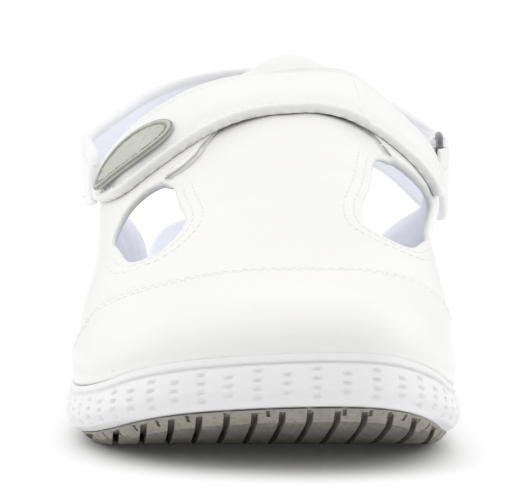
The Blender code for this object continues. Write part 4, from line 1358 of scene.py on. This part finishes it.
heel_z = 0.620 * RIDGE_HEIGHT
wing_spots = [(share, heel_z + dz) for share in (0.600, 0.615, 0.630) for dz in (0.001, 0.006, 0.011)]
wing_in = min(wing_x(share, z, -1) for share, z in wing_spots)
outer_x = wing_in - GAP - 0.0013
end_low, end_top = loop_z - loop_high / 2 + GAP, loop_z + loop_high / 2 - GAP
wide_x, wide_y = 0.500 * BALL_WIDTH, 0.762 * LENGTH
neck_x, neck_y = loop_x + 0.35 * fold, loop_rear + 0.0105
# The strap round the heel: shares of the ball width and of the length, lower and upper edge
HEEL_RUN = (
    (-0.498, 0.705, -0.002, -0.0055), (-0.466, 0.78, -0.0018, -0.003), (-0.4, 0.87, 0.0005, 0.0005),
    (-0.268, 0.955, 0.006, 0.006), (-0.02, 0.992, 0.009, 0.009), (0.232, 0.955, 0.006, 0.006),
    (0.376, 0.87, 0.0005, 0.0005), (0.5, 0.762, -0.006, -0.0055),
)
heel_rows = [
    (outer_x, 0.600 * LENGTH, heel_z + 0.0010, heel_z + 0.0115, 0.0024),
    (outer_x - 0.0008, 0.634 * LENGTH, heel_z - 0.0005, heel_z + HEEL_STRAP_WIDTH - 0.0075, HEEL_STRAP),
]
for x, y, low, high in HEEL_RUN:
    edges = (heel_z + low, heel_z + HEEL_STRAP_WIDTH + high)
    heel_rows.append((x * BALL_WIDTH, y * LENGTH, *edges, HEEL_STRAP))
heel_rows.append((neck_x, neck_y, end_low - 0.002, end_top + 0.001, 0.0020))
end_plan = [(loop_x + across * fold, loop_rear - along * fold) for across, along in ROUND_WIRE]
end_plan.append((neck_x - 0.0023, neck_y - 0.0025))
end_plan.append((0.45 * wide_x + 0.55 * neck_x - 0.0028, 0.45 * wide_y + 0.55 * neck_y))
heel_rows += [(x, y, end_low, end_top, tab_thick) for x, y in end_plan]
made = band("strap_round_heel", heel_rows, 0.0007, [heel_leather, lining])
heel, at, hx, hy, nx, ny, low, high, half = made
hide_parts("heel_strap")

# The padded roll up the strap's outer end and along its upper edge
ROLL = 0.0016
ROLL_FADE = 0.030
picked = np.flatnonzero((at > 0.007) & (at < at[-1] * 0.79))[::6]
edge_path = [
    (hx[0], hy[0] + 0.0010, low[0] + 0.0012),
    (hx[0], hy[0] + 0.0004, 0.5 * (low[0] + high[0])),
    (hx[3], hy[0] + 0.0012, high[0] - 0.0022),
    (hx[6], hy[0] + 0.0036, high[4] - 0.0004),
]
edge_path += [(hx[k], hy[k], high[k] - 0.0004) for k in picked]
heel_roll = piping("heel_strap_edge", edge_path, ROLL, heel_leather, fade=ROLL_FADE)
HEEL_ROW = 0.0026
heel_points = [(v.co.x, v.co.y + LENGTH / 2, v.co.z) for v in heel.data.vertices]
heel_tree = BVHTree.FromPolygons(heel_points, [face.vertices[:] for face in heel.data.polygons])
third = len(at) // 3
side = -1 if nx[third] * hx[third] > 0 else 1
for k, edge in enumerate((low + HEEL_ROW, high - HEEL_ROW)):
    line = np.stack([hx - side * nx * half, hy - side * ny * half, edge], -1)[at < at[-1] * 0.80]
    sew(f"heel_stitches_{k}", line[4:], heel_tree, **stitch)

# Floor, light and camera
mesh = bpy.data.meshes.new("floor")
mesh.from_pydata([(-4, -4, 0), (4, -4, 0), (4, 6, 0), (-4, 6, 0)], [], [(0, 1, 2, 3)])
floor = bpy.data.objects.new("floor", mesh)
PAPER = (0.93, 0.93, 0.93)
look = Look("floor_paper", PAPER, 0.85, emission_color=(1, 1, 1, 1), emission_strength=0.02)
look.feed("Base Color", look.blend(look.noise(3.0), PAPER, (0.92, 0.92, 0.92)))
mesh.materials.append(look.material)
bpy.context.scene.collection.objects.link(floor)

lamp = bpy.data.lights.new("overhead", "AREA")
lamp.shape = "RECTANGLE"
lamp.size, lamp.size_y = 1.6, 1.6
lamp.energy = 1.2
light = bpy.data.objects.new("overhead", lamp)
light.location = (0.0, 0.1, 1.3)
light.rotation_euler = (-light.location).to_track_quat("-Z", "Y").to_euler()
bpy.context.scene.collection.objects.link(light)

# A white room: dim low down in front, brighter above, at both sides and behind
ROOM_LOW = 0.17
ROOM_TOP = 0.90
ROOM_SIDES = 0.95
ROOM_BACK = 0.40


def white_room():
    world = bpy.data.worlds.new("white_room")
    world.use_nodes = True
    tree = world.node_tree
    place = tree.nodes.new("ShaderNodeTexCoord")
    axes = tree.nodes.new("ShaderNodeSeparateXYZ")
    tree.links.new(place.outputs["Generated"], axes.inputs[0])
    x, y, z = (Value(tree, axes.outputs[name]) for name in "XYZ")
    bright = ROOM_LOW + ROOM_TOP * z.clamped() + ROOM_SIDES * (x * x) + ROOM_BACK * (y * 0.5 + 0.5)
    background = tree.nodes["Background"]
    background.inputs["Color"].default_value = (1, 1, 1, 1)
    tree.links.new(bright.socket, background.inputs["Strength"])
    return world


scene = bpy.context.scene
scene.world = white_room()
scene.view_settings.view_transform = "Standard"

# The photo's camera, worked out from the outline; the picture is 532 pixels wide
PIXELS_WIDE = 532
FOCAL_PIXELS = 4764
DISTANCE = 1.2037
RAISED = 0.0484
down = math.radians(5.5)
ahead = Vector((0, math.cos(down), -math.sin(down)))
above = Vector((0, math.sin(down), math.cos(down)))
target = Vector((0, 0.065 - LENGTH / 2, 0))
lens = bpy.data.cameras.new("camera")
camera = bpy.data.objects.new("camera", lens)
camera.location = target - ahead * DISTANCE + above * RAISED
camera.rotation_euler = (math.radians(90) - down, 0, 0)
lens.sensor_width = 36
lens.lens = FOCAL_PIXELS * 36 / PIXELS_WIDE
lens.clip_start = 0.05
scene.collection.objects.link(camera)
scene.camera = camera
